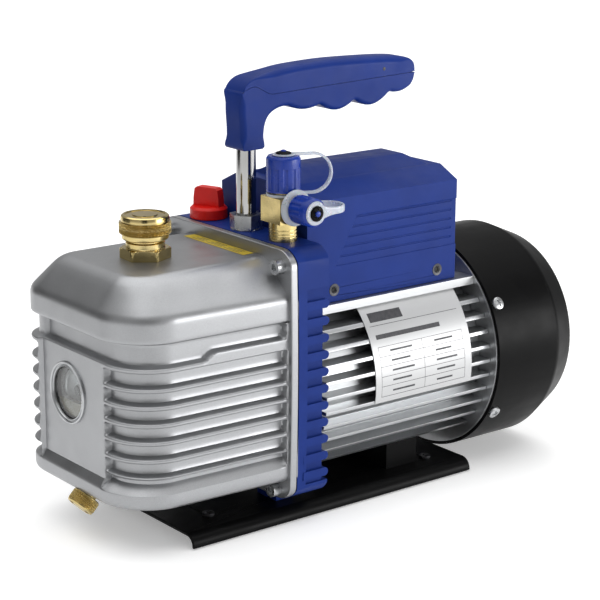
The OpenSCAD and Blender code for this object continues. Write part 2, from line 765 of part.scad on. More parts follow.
module stage_body(x0, x1) difference() {
    stage_blank(x0, x1);
    translate([x0 - 1, 0, axis_z - stage_drop]) rotate([0, 90, 0]) cylinder(h = x1 - x0 + 2, r = stage_r);
    pump_bolt_holes(x0 - 1, x1 + 1);
    for (y = [12, 17]) translate([(x0 + x1) / 2, y, axis_z + 10]) cylinder(h = 40, r = 2);
}

// Reed and stop plate over the discharge ports, held by two screws
module exhaust_valve() color("#9ea3a6") at_flange() {
    seat_z = axis_z + stage_flat;
    translate([-27, 2, seat_z]) cube([10, 26, 0.4]);
    translate([-27, 2, seat_z + 0.4]) cube([10, 8, 1.6]);
    for (x = [-24.5, -19.5]) translate([x, 6, seat_z + 2]) cylinder(h = 2, r = 2.2);
    along_x(-27, -17) polygon([
        [10, seat_z + 0.4], [28, seat_z + 3.6], [28, seat_z + 5], [10, seat_z + 2]
    ]);
}

module shaft_seal() color("#252525") at_flange() axis_tube(-5, -0.1, 12, 6.05);

// Two rotors on one shaft, each slotted for a pair of vanes
module pump_rotors() color("#9da1a5") at_flange() {
    difference() {
        axis_cyl(-35.9, -8.2, rotor_r);
        vane_slots(-35.9, -8.2);
    }
    difference() {
        axis_cyl(-57.9, -42.3, rotor_r);
        vane_slots(-57.9, -42.3);
    }
    axis_cyl(-63.5, -57.9, 6);
    axis_cyl(-42.3, -35.9, 6);
    axis_cyl(-8.2, 7, 6);
}

module vane_slots(x0, x1) for (s = [-1, 1])
    translate([x0 - 1, -vane_t / 2, axis_z + (s > 0 ? vane_root : -rotor_r - 1)])
        cube([x1 - x0 + 2, vane_t, rotor_r + 1 - vane_root]);

module pump_vanes() color("#3b3431") at_flange()
    for (span = [[-35.8, -8.3], [-57.8, -42.4]], s = [0, 1])
        translate([0, 0, axis_z]) mirror([0, 0, s])
            translate([span[0], 0.03 - vane_t / 2, vane_root + 0.1])
                cube([span[1] - span[0], vane_t - 0.06, rotor_r - vane_root - 0.3]);

// Jaw coupling: one hub on the pump shaft, one on the motor shaft
module coupling_hubs() color("#8f9397") at_flange() {
    axis_tube(1.2, 7.5, 17, 6);
    axis_tube(12.5, 17, 17, 6);
    for (i = [0 : 2]) {
        jaw(7, 12.2, i * 120);
        jaw(7.8, 13, i * 120 + 60);
    }
}

module jaw(x0, x1, turn) translate([x0, 0, axis_z]) rotate([0, 90, 0]) rotate(turn) intersection() {
    ring(x1 - x0, 16.9, 8.5);
    linear_extrude(x1 - x0) polygon([[0, 0], [30, -8], [30, 8]]);
}

module coupling_spider() color("#b3341f") at_flange() translate([8, 0, axis_z]) rotate([0, 90, 0]) {
    ring(4, 8.3, 4);
    for (i = [0 : 5]) rotate(i * 60 + 30) translate([8.2, -1.7, 0]) cube([8.4, 3.4, 4]);
}

// ---- motor ----

module motor_housing() color("#b4b7ba") at_flange() difference() {
    union() {
        axis_cyl(bracket_len + 0.3, 150, tube_r);
        along_x(bracket_len + 3.7, 150) {
            intersection() {
                translate([0, axis_z]) circle(r = fin_tip_r);
                for (k = [-5 : 4]) translate([-70, axis_z + k * fin_pitch - fin_t / 2]) square([140, fin_t]);
            }
            translate([-45, box_bottom - 5.2]) square([90, 5]);
        }
        // rails that the terminal box screws into
        for (s = [0, 1]) mirror([0, s, 0]) translate([30, 33, box_bottom - 1]) cube([100, 5.4, 13]);
    }
    axis_cyl(0, 160, stator_r);
    for (x = [43.2, 122.8], s = [-1, 1]) translate([x, 0, 129.5]) rotate([s * 90, 0, 0])
        cylinder(h = 45, r = 1.6);
}

module rating_plate() color("#c9cbcd") at_flange() intersection() {
    axis_tube(59, 137, fin_tip_r + 0.6, fin_tip_r + 0.1);
    along_x(58, 138) translate([0, axis_z]) polygon([
        [0, 0], [-100 * cos(-9), 100 * sin(-9)], [-90, 30], [-100 * cos(46), 100 * sin(46)]
    ]);
}

// Front and rear end shields, as two separate solids
module motor_shields() color("#9a9da0") at_flange() {
    difference() {
        axis_cyl(bracket_len + 0.5, 31, stator_r);
        axis_cyl(front_bearing_x, 32, bearing_r);
        axis_cyl(10, 40, 9);
        tie_bolt_cut(10, 40);
    }
    difference() {
        union() {
            axis_cyl(143, 151, stator_r);
            axis_cyl(150.2, 160, 66.8);
        }
        axis_cyl(140, rear_bearing_x + bearing_w, bearing_r);
        axis_cyl(140, 170, 9);
        axis_cyl(153, 161, 60);
        tie_bolt_cut(140, 170);
        for (a = [30, 150, 210, 330]) cover_screw_frame(a) cylinder(h = 22, r = 1.6, center = true);
    }
    axis_tube(152.9, 157, 24, bearing_r);
}

module tie_bolt_cut(x0, x1) for (a = [45, 135, 225, 315])
    translate([x0, 42 * cos(a), axis_z + 42 * sin(a)]) rotate([0, 90, 0]) cylinder(h = x1 - x0, r = 2.5);

module bearing_frames() for (x = [front_bearing_x, rear_bearing_x])
    translate([x, 0, axis_z]) rotate([0, 90, 0]) children();

module bearing_outer_rings() color("#cfd2d4") at_flange() bearing_frames() difference() {
    ring(bearing_w, bearing_r, 14.6);
    translate([0, 0, bearing_w / 2]) rotate_extrude() translate([ball_pitch_r, 0]) circle(r = 3.1);
}

// Inner rings with their balls, which turn with the shaft
module bearing_inner_rings() color("#dfe2e4") at_flange() bearing_frames() {
    difference() {
        ring(bearing_w, 10.4, bearing_bore);
        translate([0, 0, bearing_w / 2]) rotate_extrude() translate([ball_pitch_r, 0]) circle(r = 3.02);
    }
    for (i = [0 : 7]) rotate(i * 45) translate([ball_pitch_r, 0, bearing_w / 2]) sphere(r = 3, $fn = 32);
}

module stator_core() color("#6a6d70") at_flange() difference() {
    axis_tube(stator_x[0], stator_x[1], stator_r - 0.1, 27);
    for (i = [0 : 23]) stator_slot(i, stator_x[0] - 1, stator_x[1] + 1, 3.4, 29, 38);
    tie_bolt_cut(40, 120);
}

module stator_slot(i, x0, x1, w, r0, r1) translate([x0, 0, axis_z]) rotate([i * 15 + 7.5, 0, 0])
    translate([0, -w / 2, r0]) cube([x1 - x0, w, r1 - r0]);

module stator_windings() color("#a65a1f") at_flange() {
    for (i = [0 : 23]) stator_slot(i, stator_x[0] - 2, stator_x[1] + 2, 3.2, 29.2, 37.8);
    for (x = [stator_x[0] - 14, stator_x[1] + 1]) axis_tube(x, x + 13, 39, 29);
}

module motor_rotor() color("#7c7f82") at_flange() {
    axis_tube(stator_x[0], stator_x[1], 26.6, 8.5);
    for (x = [stator_x[0] - 6, stator_x[1]]) axis_tube(x, x + 6, 25, 13);
}

module motor_shaft() color("#b7babd") at_flange() {
    axis_cyl(12.5, 19, 6);
    axis_cyl(19, 36, bearing_bore);
    axis_cyl(36, 126, 8.5);
    axis_cyl(126, 164, bearing_bore);
    axis_cyl(164, 192, 6);
}

module cooling_fan() color("#2f3133") at_flange() {
    blades = 8;
    axis_tube(165, 191, 12, 6);
    axis_tube(165, 167, 52, 11);
    for (i = [0 : blades - 1]) translate([0, 0, axis_z]) rotate([i * 360 / blades, 0, 0])
        translate([166.5, -1, 11]) cube([22, 2, 46]);
}

module fan_cover() color("#121214") at_flange() {
    rim_end = 199.4;
    end_r = cover_r - 9;
    t = 2;
    difference() {
        union() {
            axis_cyl(cover_front, rim_end, cover_r);
            translate([rim_end, 0, axis_z]) rotate([0, 90, 0])
                cylinder(h = rear_x - rim_end, r1 = cover_r, r2 = end_r);
        }
        axis_cyl(cover_front - 1, rim_end, cover_r - t);
        translate([rim_end - 0.01, 0, axis_z]) rotate([0, 90, 0])
            cylinder(h = rear_x - rim_end - t, r1 = cover_r - t, r2 = end_r - t);
        // rear grille: rings of air slots between six spokes
        for (r = [14 : 8 : 46]) difference() {
            axis_tube(rear_x - t - 1, rear_x + 1, r + 5, r);
            for (a = [0 : 60 : 300]) translate([0, 0, axis_z]) rotate([a, 0, 0])
                translate([rear_x - 5, -2, 0]) cube([10, 4, 60]);
        }
        for (a = [30, 150, 210, 330]) cover_screw_frame(a) cylinder(h = 12, r = 2.1, center = true);
    }
}

// Origin on the cover's skin at a screw, +Z pointing outwards
module cover_screw_frame(a) translate([156, 0, axis_z]) rotate([a - 90, 0, 0]) translate([0, 0, cover_r]) children();

module cover_screws() color("#a9acaf") at_flange() {
    for (a = [30, 150, 210, 330]) cover_screw_frame(a) difference() {
        union() {
            translate([0, 0, -9]) cylinder(h = 9.1, r = 1.6);
            cylinder(h = 1.4, r = 4);
            translate([0, 0, 1.4]) cylinder(h = 0.8, r1 = 4, r2 = 3);
        }
        translate([0, 0, 1]) cross_slot(4.6, 1);
    }
    // countersunk socket screws in the terminal box
    for (x = [43.2, 122.8], s = [0, 1]) mirror([0, s, 0])
        translate([x, -box_half, 129.5]) rotate([90, 0, 0]) difference() {
            union() {
                translate([0, 0, -8]) cylinder(h = 6.2, r = 1.6);
                translate([0, 0, -1.9]) cylinder(h = 1.8, r1 = 1.6, r2 = 3.3);
            }
            translate([0, 0, -1.2]) linear_extrude(3) hexagon(2.5);
        }
}

// ---- terminal box ----

module box_outline(inset) polygon([
    for (s = [-1, 1]) for (p = s < 0 ? [0, 1, 2] : [2, 1, 0]) [
        s * [box_half - inset, box_half - inset, 25.9 - inset / 2][p],
        [box_bottom - (inset > 0 ? 1 : 0), box_shoulder - inset / 2, box_roof - inset][p]
    ]
]);

module box_ridge(inset) crossed(box_front + 9, 131, 30) {
    polygon([[-22 + inset, box_roof - 3], [-22 + inset, box_roof], [-10, 196 - inset],
             [10, 196 - inset], [22 - inset, box_roof], [22 - inset, box_roof - 3]]);
    polygon([[33 + inset, box_roof - 3], [33 + inset, box_roof], [36 + inset, 196 - inset],
             [121 - inset, 196 - inset], [130 - inset, box_roof], [130 - inset, box_roof - 3]]);
}

module terminal_cover() color("#1f3a92") at_flange() difference() {
    union() {
        along_x(box_front, box_rear) box_outline(0);
        box_ridge(0);
    }
    along_x(box_front + box_wall, box_rear - box_wall) box_outline(box_wall);
    box_ridge(box_wall);
    axis_cyl(0, box_rear + 5, tube_r + 0.2);
    // shallow side panels with horizontal grooves
    for (s = [0, 1]) mirror([0, s, 0]) {
        along_y(-box_half - 1, -box_half + 0.6)
            polygon([[59.7, 171.5], [44, 143.4], [box_rear + 1, 143.4], [box_rear + 1, 171.5]]);
        for (i = [0 : 4]) along_y(-box_half - 1, -box_half + 1)
            translate([0, 148 + i * 5.5]) polygon([
                [47.5 + i * 3.07, 0], [box_rear - 4, 0], [box_rear - 4, 0.9], [48 + i * 3.07, 0.9]
            ]);
        for (x = [43.2, 122.8]) translate([x, -box_half, 129.5]) rotate([90, 0, 0]) {
            translate([0, 0, -5]) cylinder(h = 6, r = 1.7);
            translate([0, 0, -2]) cylinder(h = 2.1, r1 = 1.7, r2 = 3.5);
        }
    }
    translate([box_rear - 6, switch_y, switch_z]) cube([20, 12.6, 19], center = true);
    translate([box_rear - 6, inlet_y, inlet_z]) cube([20, 27, 20], center = true);
}

module capacitor() color("#3a3c3f") at_flange() {
    translate([40, 14, 152]) rotate([0, 90, 0]) cylinder(h = 62, r = 17);
    for (y = [9, 19]) translate([102, y - 2.5, 150]) cube([7, 5, 1]);
}

// Switch body, socket body with its three pins, and the terminal block
module power_fittings() color("#1a1a1a") at_flange() {
    translate([box_rear, switch_y, switch_z]) difference() {
        union() {
            translate([0, -7.5, -10.5]) cube([1.6, 15, 21]);
            translate([-13, -6.2, -9.4]) cube([13.5, 12.4, 18.8]);
        }
        translate([-7, -4.7, -8.6]) cube([10, 9.4, 17.2]);
        rotate([90, 0, 0]) cylinder(h = 12.2, r = 1.25, center = true);
    }
    translate([box_rear, inlet_y, inlet_z]) {
        difference() {
            union() {
                translate([0, -15, -12.5]) cube([2.4, 30, 25]);
                translate([-16, -13.4, -9.9]) cube([17, 26.8, 19.8]);
            }
            translate([-14, 0, 0]) rotate([90, 0, 90]) linear_extrude(20) polygon([
                [-12, -8], [12, -8], [12, 4], [8, 8], [-8, 8], [-12, 4]
            ]);
        }
        for (y = [-7, 0, 7]) translate([-14, y - 1, y == 0 ? 0 : -4]) cube([11, 2, 4]);
    }
    translate([50, -26, 125]) cube([36, 18, 16]);
}

module power_rocker() color("#0c0c0c") at_flange() translate([box_rear, switch_y, switch_z]) {
    along_y(-4.4, 4.4) polygon([[-1.5, -7.6], [1.4, -7.4], [2.4, 0], [4.4, 7], [1.6, 7.6], [-1.5, 7.2]]);
    rotate([90, 0, 0]) cylinder(h = 12, r = 1.2, center = true);
}

base_plate();
rubber_feet();
foot_screws();
motor_saddle();
hex_bolts();
pump_bracket();
oil_tank();
tank_gasket();
tank_screws();
caution_label();
sight_glass();
sight_ring();
sight_seal();
sight_reflector();
filler_neck();
filler_cap();
filler_seal();
drain_neck();
drain_cap();
drain_seal();
ballast_sleeve();
ballast_knob();
handle_post();
handle_nut();
handle_grip();
handle_cover();
intake_body();
intake_screen();
top_cap();
top_cap_seal();
side_cap();
side_cap_seal();
top_cap_button();
side_cap_button();
top_cap_strap();
side_cap_strap();
pump_front_plate();
stage_housings();
exhaust_valve();
shaft_seal();
pump_rotors();
pump_vanes();
coupling_hubs();
coupling_spider();
motor_housing();
rating_plate();
motor_shields();
bearing_outer_rings();
bearing_inner_rings();
stator_core();
stator_windings();
motor_rotor();
motor_shaft();
cooling_fan();
fan_cover();
terminal_cover();
cover_screws();
capacitor();
power_fittings();
power_rocker();
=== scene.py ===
import json
import math

import bpy
from mathutils import Matrix, Vector


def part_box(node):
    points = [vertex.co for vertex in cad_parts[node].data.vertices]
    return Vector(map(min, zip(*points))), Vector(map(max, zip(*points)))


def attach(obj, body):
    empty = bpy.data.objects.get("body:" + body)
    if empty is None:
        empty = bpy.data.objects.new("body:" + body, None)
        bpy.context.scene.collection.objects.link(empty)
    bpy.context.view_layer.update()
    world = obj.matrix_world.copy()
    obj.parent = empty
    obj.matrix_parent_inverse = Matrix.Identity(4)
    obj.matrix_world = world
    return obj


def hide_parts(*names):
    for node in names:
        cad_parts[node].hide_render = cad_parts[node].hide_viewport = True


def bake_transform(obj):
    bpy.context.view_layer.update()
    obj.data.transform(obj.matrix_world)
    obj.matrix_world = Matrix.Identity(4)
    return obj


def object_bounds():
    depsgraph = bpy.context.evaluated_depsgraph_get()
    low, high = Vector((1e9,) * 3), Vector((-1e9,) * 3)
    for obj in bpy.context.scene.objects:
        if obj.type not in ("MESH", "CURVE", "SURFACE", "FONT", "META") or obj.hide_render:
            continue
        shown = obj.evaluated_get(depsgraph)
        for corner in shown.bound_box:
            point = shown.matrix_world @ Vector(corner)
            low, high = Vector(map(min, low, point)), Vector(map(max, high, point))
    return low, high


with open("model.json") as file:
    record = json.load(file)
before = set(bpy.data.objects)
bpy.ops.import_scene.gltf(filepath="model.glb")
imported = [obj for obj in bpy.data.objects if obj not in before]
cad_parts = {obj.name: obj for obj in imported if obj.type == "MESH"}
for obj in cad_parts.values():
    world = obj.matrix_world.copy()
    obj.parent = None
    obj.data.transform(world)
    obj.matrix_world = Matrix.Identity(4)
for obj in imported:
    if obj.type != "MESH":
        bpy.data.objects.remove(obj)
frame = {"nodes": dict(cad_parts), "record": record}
cad_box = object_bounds()

MM = 0.001
JOINT_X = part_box("tank_gasket")[1].x      # plane where the oil tank meets the bracket

# millimetres from that joint, from the middle plane and up from the ground
MOTOR_Z = 72.1                            # axis of the motor and the fan cover
FILLER_X = -59.0                          # axis of the oil filler
INTAKE_X, INTAKE_Y, PORT_Z = 10.7, -35.0, 183.0     # axes of the intake tee's two ports


def at(x, y, z):
    """A point given in millimetres from the tank joint, the middle plane and the ground."""
    return Vector((JOINT_X + x * MM, y * MM, z * MM))


def clamped(t):
    return max(0.0, min(1.0, t))


def eased(t):
    """0 to 1 with a smooth start and end."""
    t = clamped(t)
    return t * t * (3 - 2 * t)


# ---------------------------------------------------------------- materials

MATERIALS = {}
NOISE_LOW, NOISE_HIGH = 0.35, 0.65      # the noise values that map to a range's two ends


class Shader:
    """One Principled material whose texture coordinates are in object space."""

    def __init__(self, name, colour, rough, metallic=0.0):
        self.material = bpy.data.materials.new(name)
        self.material.use_nodes = True
        self.tree = self.material.node_tree
        self.tree.nodes.clear()
        out = self.add("ShaderNodeOutputMaterial")
        self.bsdf = self.add("ShaderNodeBsdfPrincipled")
        self.bsdf.inputs["Base Color"].default_value = (*colour, 1)
        self.bsdf.inputs["Roughness"].default_value = rough
        self.bsdf.inputs["Metallic"].default_value = metallic
        self.link(self.bsdf.outputs["BSDF"], out.inputs["Surface"])
        self.coords = self.add("ShaderNodeTexCoord")
        self.colour = colour
        self.rough = rough

    def add(self, kind):
        return self.tree.nodes.new(kind)

    def link(self, a, b):
        self.tree.links.new(a, b)

    def noise(self, scale, stretch, detail=3.0):
        mapping = self.add("ShaderNodeMapping")
        mapping.inputs["Scale"].default_value = stretch
        self.link(self.coords.outputs["Object"], mapping.inputs["Vector"])
        n = self.add("ShaderNodeTexNoise")
        n.inputs["Scale"].default_value = scale
        n.inputs["Detail"].default_value = detail
        n.inputs["Roughness"].default_value = 0.55
        self.link(mapping.outputs["Vector"], n.inputs["Vector"])
        return n.outputs["Fac"]

    def vary_rough(self, scale, spread, stretch=(1, 1, 1)):
        """Roughness wanders by the spread to both sides."""
        r = self.add("ShaderNodeMapRange")
        r.inputs["From Min"].default_value = NOISE_LOW
        r.inputs["From Max"].default_value = NOISE_HIGH
        r.inputs["To Min"].default_value = max(0.02, self.rough - spread)
        r.inputs["To Max"].default_value = self.rough + spread
        self.link(self.noise(scale, stretch), r.inputs["Value"])
        self.link(r.outputs["Result"], self.bsdf.inputs["Roughness"])
        return self

    def vary_colour(self, scale, dark, stretch=(1, 1, 1)):
        """Colour wanders between dark and the material's own."""
        ramp = self.add("ShaderNodeValToRGB")
        ends = ramp.color_ramp.elements
        ends[0].position = NOISE_LOW
        ends[0].color = (*dark, 1)
        ends[1].position = NOISE_HIGH
        ends[1].color = (*self.colour, 1)
        self.link(self.noise(scale, stretch), ramp.inputs["Fac"])
        self.link(ramp.outputs["Color"], self.bsdf.inputs["Base Color"])
        return self

    def grain(self, scale, distance, strength=0.5, stretch=(1, 1, 1)):
        """A fine bump."""
        bump = self.add("ShaderNodeBump")
        bump.inputs["Strength"].default_value = strength
        bump.inputs["Distance"].default_value = distance
        self.link(self.noise(scale, stretch, 2.0), bump.inputs["Height"])
        self.link(bump.outputs["Normal"], self.bsdf.inputs["Normal"])
        return self

    def set(self, **values):
        for key, value in values.items():
            self.bsdf.inputs[key.replace("_", " ")].default_value = value
        return self


def shaded(slot, colour, rough, metallic=0.0):
    """The material of one slot."""
    shader = Shader(slot, colour, rough, metallic)
    MATERIALS[slot] = shader.material
    return shader


def scaled(colour, k):
    return tuple(c * k for c in colour)


def make_materials():
    black = (0.004, 0.004, 0.0042)
    blue = (0.0095, 0.031, 0.195)
    silver = (0.385, 0.391, 0.402)
    brass = (0.66, 0.53, 0.25)
    steel = (0.55, 0.56, 0.57)
    shaded("black_sheet", black, 0.34).vary_rough(60, 0.05).vary_colour(35, scaled(black, 0.8)) \
        .grain(1500, 0.00005, 0.35).set(Specular_IOR_Level=0.06)
    shaded("black_rubber", (0.02, 0.02, 0.02), 0.7).vary_rough(200, 0.08) \
        .vary_colour(90, (0.012, 0.012, 0.012)).grain(900, 0.00005)
    shaded("zinc_steel", steel, 0.3, 1.0).vary_rough(300, 0.07).vary_colour(150, scaled(steel, 0.82)) \
        .grain(1200, 0.00003, 0.3)
    shaded("dark_steel", (0.09, 0.09, 0.095), 0.4, 1.0).vary_rough(300, 0.08) \
        .vary_colour(200, (0.05, 0.05, 0.055)).grain(900, 0.00003)
    shaded("blue_casting", blue, 0.4).vary_rough(90, 0.06).vary_colour(45, scaled(blue, 0.86)) \
        .grain(1100, 0.00006, 0.45).set(Specular_IOR_Level=0.1)
    shaded("silver_casting", silver, 0.38, 0.9).vary_rough(70, 0.03) \
        .vary_colour(2600, scaled(silver, 0.86)).grain(3200, 0.00002, 0.3)
    shaded("gasket", (0.025, 0.025, 0.025), 0.75).vary_rough(200, 0.08) \
        .vary_colour(120, (0.015, 0.015, 0.015)).grain(900, 0.00004)
    shaded("caution_yellow", (0.56, 0.42, 0.03), 0.4).vary_rough(120, 0.05) \
        .vary_colour(60, (0.5, 0.36, 0.02)).grain(700, 0.00002, 0.3)
    shaded("clear_glass", (0.9, 0.93, 0.93), 0.04).vary_rough(40, 0.02).grain(60, 0.00002, 0.2) \
        .set(Transmission_Weight=1.0, IOR=1.5)
    aluminium = (0.52, 0.53, 0.54)
    shaded("bare_aluminium", aluminium, 0.34, 0.92).vary_rough(25, 0.06, (0.15, 4, 4)) \
        .vary_colour(60, scaled(aluminium, 0.9), stretch=(0.1, 3, 3)) \
        .grain(240, 0.00004, 0.3, stretch=(0.08, 3, 3))
    shaded("cast_iron", (0.16, 0.165, 0.17), 0.5, 0.9).vary_rough(90, 0.1) \
        .vary_colour(80, (0.11, 0.11, 0.115)).grain(600, 0.0001)
    shaded("brass", brass, 0.2, 1.0).vary_rough(90, 0.06).vary_colour(60, (0.56, 0.44, 0.18)) \
        .grain(500, 0.00003, 0.3, stretch=(1, 1, 6))
    shaded("red_plastic", (0.72, 0.012, 0.008), 0.32).vary_rough(90, 0.06) \
        .vary_colour(70, (0.62, 0.009, 0.006)).grain(700, 0.00004, 0.4) \
        .set(Specular_IOR_Level=0.25)
    shaded("chrome_steel", (0.36, 0.355, 0.35), 0.07, 1.0).vary_rough(60, 0.02) \
        .vary_colour(30, (0.43, 0.43, 0.43)).grain(60, 0.00002, 0.15)
    shaded("blue_plastic", blue, 0.4).vary_rough(90, 0.06).vary_colour(40, scaled(blue, 0.88)) \
        .grain(1300, 0.00006, 0.5).set(Specular_IOR_Level=0.1)
    shaded("cap_blue", (0.008, 0.036, 0.3), 0.24).vary_rough(150, 0.05) \
        .vary_colour(90, (0.006, 0.03, 0.24)).grain(500, 0.00003, 0.3) \
        .set(Specular_IOR_Level=0.35)
    shaded("clear_strap", (0.75, 0.79, 0.86), 0.25).vary_rough(90, 0.06) \
        .vary_colour(60, (0.66, 0.71, 0.8)).grain(300, 0.00003, 0.3) \
        .set(Transmission_Weight=0.45, IOR=1.45, Subsurface_Weight=0.1, Subsurface_Scale=0.001)
    shaded("steel", steel, 0.32, 1.0).vary_rough(120, 0.07).vary_colour(70, scaled(steel, 0.85)) \
        .grain(400, 0.00003, stretch=(0.1, 3, 3))
    shaded("vane_composite", (0.05, 0.035, 0.025), 0.55).vary_rough(90, 0.08) \
        .vary_colour(200, (0.03, 0.02, 0.015)).grain(500, 0.00004)
    shaded("copper_winding", (0.5, 0.19, 0.06), 0.35, 1.0).vary_rough(120, 0.08) \
        .vary_colour(300, (0.34, 0.12, 0.04)).grain(250, 0.0003, 0.6)
    label = (0.52, 0.525, 0.53)
    shaded("label_silver", label, 0.36, 0.3).vary_rough(8, 0.03).vary_colour(6, scaled(label, 0.93)) \
        .grain(2500, 0.000005, 0.2)
    shaded("print_black", (0.03, 0.03, 0.035), 0.5).vary_rough(200, 0.05) \
        .vary_colour(400, (0.05, 0.05, 0.055)).grain(500, 0.00001, 0.2)
    shaded("oil", (0.16, 0.13, 0.04), 0.08).vary_rough(60, 0.03).vary_colour(40, (0.1, 0.085, 0.03)) \
        .grain(30, 0.00002, 0.1)
    shaded("black_plastic", (0.01, 0.01, 0.0105), 0.42).vary_rough(100, 0.06) \
        .vary_colour(60, (0.011, 0.011, 0.011)).grain(900, 0.00006)


# ---------------------------------------------------------------- mesh helpers


def new_piece(name, verts, faces, slot, body="pump", smooth=32.0):
    """A mesh object from points in metres in the row frame, finished and riding on a body."""
    mesh = bpy.data.meshes.new(name)
    mesh.from_pydata([tuple(v) for v in verts], [], faces)
    mesh.update()
    mesh.shade_smooth()
    mesh.set_sharp_from_angle(angle=math.radians(smooth))
    obj = bpy.data.objects.new(name, mesh)
    bpy.context.scene.collection.objects.link(obj)
    mesh.materials.append(MATERIALS[slot])
    if body:
        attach(obj, body)
    return obj


def flat_faces_kept(obj):
    """Lets the large flat faces decide the shading of the rounded edges beside them."""
    n = obj.modifiers.new("normals", "WEIGHTED_NORMAL")
    n.keep_sharp = True
    n.weight = 50
    return obj


def softened(obj, width, segments=2, weld=True):
    """Rounds the hard edges of an object with modifiers only."""
    if weld:
        w = obj.modifiers.new("weld", "WELD")
        w.merge_threshold = 1e-6
    b = obj.modifiers.new("edges", "BEVEL")
    b.width = width
    b.segments = segments
    b.limit_method = "ANGLE"
    b.angle_limit = math.radians(35)
    b.use_clamp_overlap = True
    b.harden_normals = False
    n = obj.modifiers.new("normals", "WEIGHTED_NORMAL")
    n.keep_sharp = False
    n.weight = 50


def between_rings(count, n):
    """Quads that join count rings of n points each."""
    faces = []
    for j in range(count - 1):
        for i in range(n):
            a, b = j * n + i, j * n + (i + 1) % n
            faces.append((a, b, b + n, a + n))
    return faces


def first_cap(n):
    """A face over the first of the rings."""
    return tuple(reversed(range(n)))


def last_cap(count, n):
    """A face over the last of the rings."""
    return tuple(range((count - 1) * n, count * n))


def lathe(profile, segments=72, shape=None):
    """Turns (radius, height) points in millimetres round Z; shape may change each radius."""
    verts = []
    for r, h in profile:
        for i in range(segments):
            a = 2 * math.pi * i / segments
            rr = r + (shape(a, h, r) if shape else 0)
            verts.append(Vector((rr * math.cos(a), rr * math.sin(a), h)) * MM)
    return verts, between_rings(len(profile), segments)


def placed(name, profile, place, slot, body="pump", segments=72, shape=None, smooth=32):
    """A turned piece put in the row frame."""
    verts, faces = lathe(profile, segments, shape)
    return new_piece(name, [place @ v for v in verts], faces, slot, body, smooth)


def facing(direction, origin):
    """A frame at origin whose Z axis points along direction."""
    return Matrix.Translation(origin) @ Vector(direction).to_track_quat("Z", "Y").to_matrix().to_4x4()


def near_or_far(side):
    return "near" if side < 0 else "far"


# ---------------------------------------------------------------- oil tank

TANK_FACE = 105.0        # front face, forward of the joint
TANK_PROUD = 3.0         # skirt and shoulder band in front of it
TANK_HALF = 57.5         # half the width at the face
TANK_FLARE = 3.5         # how much further out each side is at the joint
TANK_FOOT = 5.5          # length of the sweep from the sides into the flange
NEAR_R = 29.0            # near corner at the face; grows with the proud parts
FAR_R = 15.5             # far corner

# heights, from the ground up
TANK_BOTTOM = 28.0
SKIRT_TOP = 37.7         # a chamfer runs from here back to the face
FACE_LOW = 43.0
LOWEST_ROOF = 46.5       # top of the lowest slot
SLOTS = [(48.0, 55.8), (58.3, 66.0), (68.4, 76.0), (78.5, 85.9), (88.5, 95.8), (98.2, 106.7)]
GROOVE_LOW = 109.4       # wide groove under the shoulder band, at the front
GROOVE_STEP = 4.0        # how much higher its floor is at the rear
BAND_LOW = 122.7
BAND_HIGH = 133.3
CREASE = 136.5           # where the shoulders start
TANK_TOP = 156.0

POCKET = 4.6             # depth of the cooling slots
SLOT_NEAR, SLOT_FAR = -26.0, 37.8        # how far the slots reach round to the front
SLOT_REAR = -5.5         # their rear ends
SIGHT_Y, SIGHT_Z = 10.4, 83.1            # centre of the level window

# The grid of the tank's skin is close where slots end and wide elsewhere.
REAR_STEPS = [0, 1.2, 2.2, 3.4, 4.4, 5.0, 5.3, 5.6, 6.0, 6.6, 7.5, 9, 11]
FRONT_LOW, FRONT_HIGH = -28.4, 40.2      # the front's two ends, at the face


def plan_columns():
    """Places round the tank's plan, as (section, value): near side, corner, front, corner, side."""
    near = REAR_STEPS + [14] + [18 + 2.1 * i for i in range(16)]
    near += [50.8, 51.5] + [52.5 + i for i in range(11)] + [65, 68, 71, 74]
    front = [-27.4, -26.8, -26.3, -26.0, -25.7, -25.3, -24.8, -24.2, -23.5]
    front += [-20 + 4 * i for i in range(15)]
    front += [37.0, 37.4, 37.8, 38.2, 38.6, 39.0, FRONT_HIGH]
    far = [85 - 5 * i for i in range(5)] + [62.5 - 2 * i for i in range(6)]
    far += [50.8, 45, 38, 30, 22, 15] + REAR_STEPS[::-1]
    return ([("near", -x) for x in near]
            + [("near_corner", i / 24) for i in range(25)]
            + [("front", y) for y in front]
            + [("far_corner", i / 16) for i in range(17)]
            + [("far", -x) for x in far])


def plan_point(col, length, half, flare, near_r, far_r):
    """(x, y, outward normal) of one place on the plan outline."""
    kind, value = col
    # below the top the far corner always reaches as far forward as the proud parts
    far_length = max(length, TANK_FACE + TANK_PROUD) if half >= TANK_HALF else length
    near_x = -length + near_r
    far_x = -far_length + far_r
    front_low = -half + near_r
    front_high = half - far_r
    if kind in ("near", "far"):
        side = -1 if kind == "near" else 1
        x = max(value, near_x if kind == "near" else far_x)
        start = -TANK_FACE + NEAR_R
        y = half + flare * max(0.0, (x - start) / -start)
        if half > 50:
            y += 2.2 * (max(0.0, TANK_FOOT + x) / TANK_FOOT) ** 3
        return x, side * y, (0.0, side)
    if kind == "near_corner":
        a = math.pi * (1.5 - 0.5 * value)
        return (near_x + near_r * math.cos(a), front_low + near_r * math.sin(a),
                (math.cos(a), math.sin(a)))
    if kind == "front":
        t = (value - FRONT_LOW) / (FRONT_HIGH - FRONT_LOW)
        y = front_low + t * (front_high - front_low)
        step = clamped((value - 37.4) / 1.6)
        return -length - (far_length - length) * step, y, (-1.0, 0.0)
    a = math.pi * (1.0 - 0.5 * value)
    return (far_x + far_r * math.cos(a), front_high + far_r * math.sin(a),
            (math.cos(a), math.sin(a)))


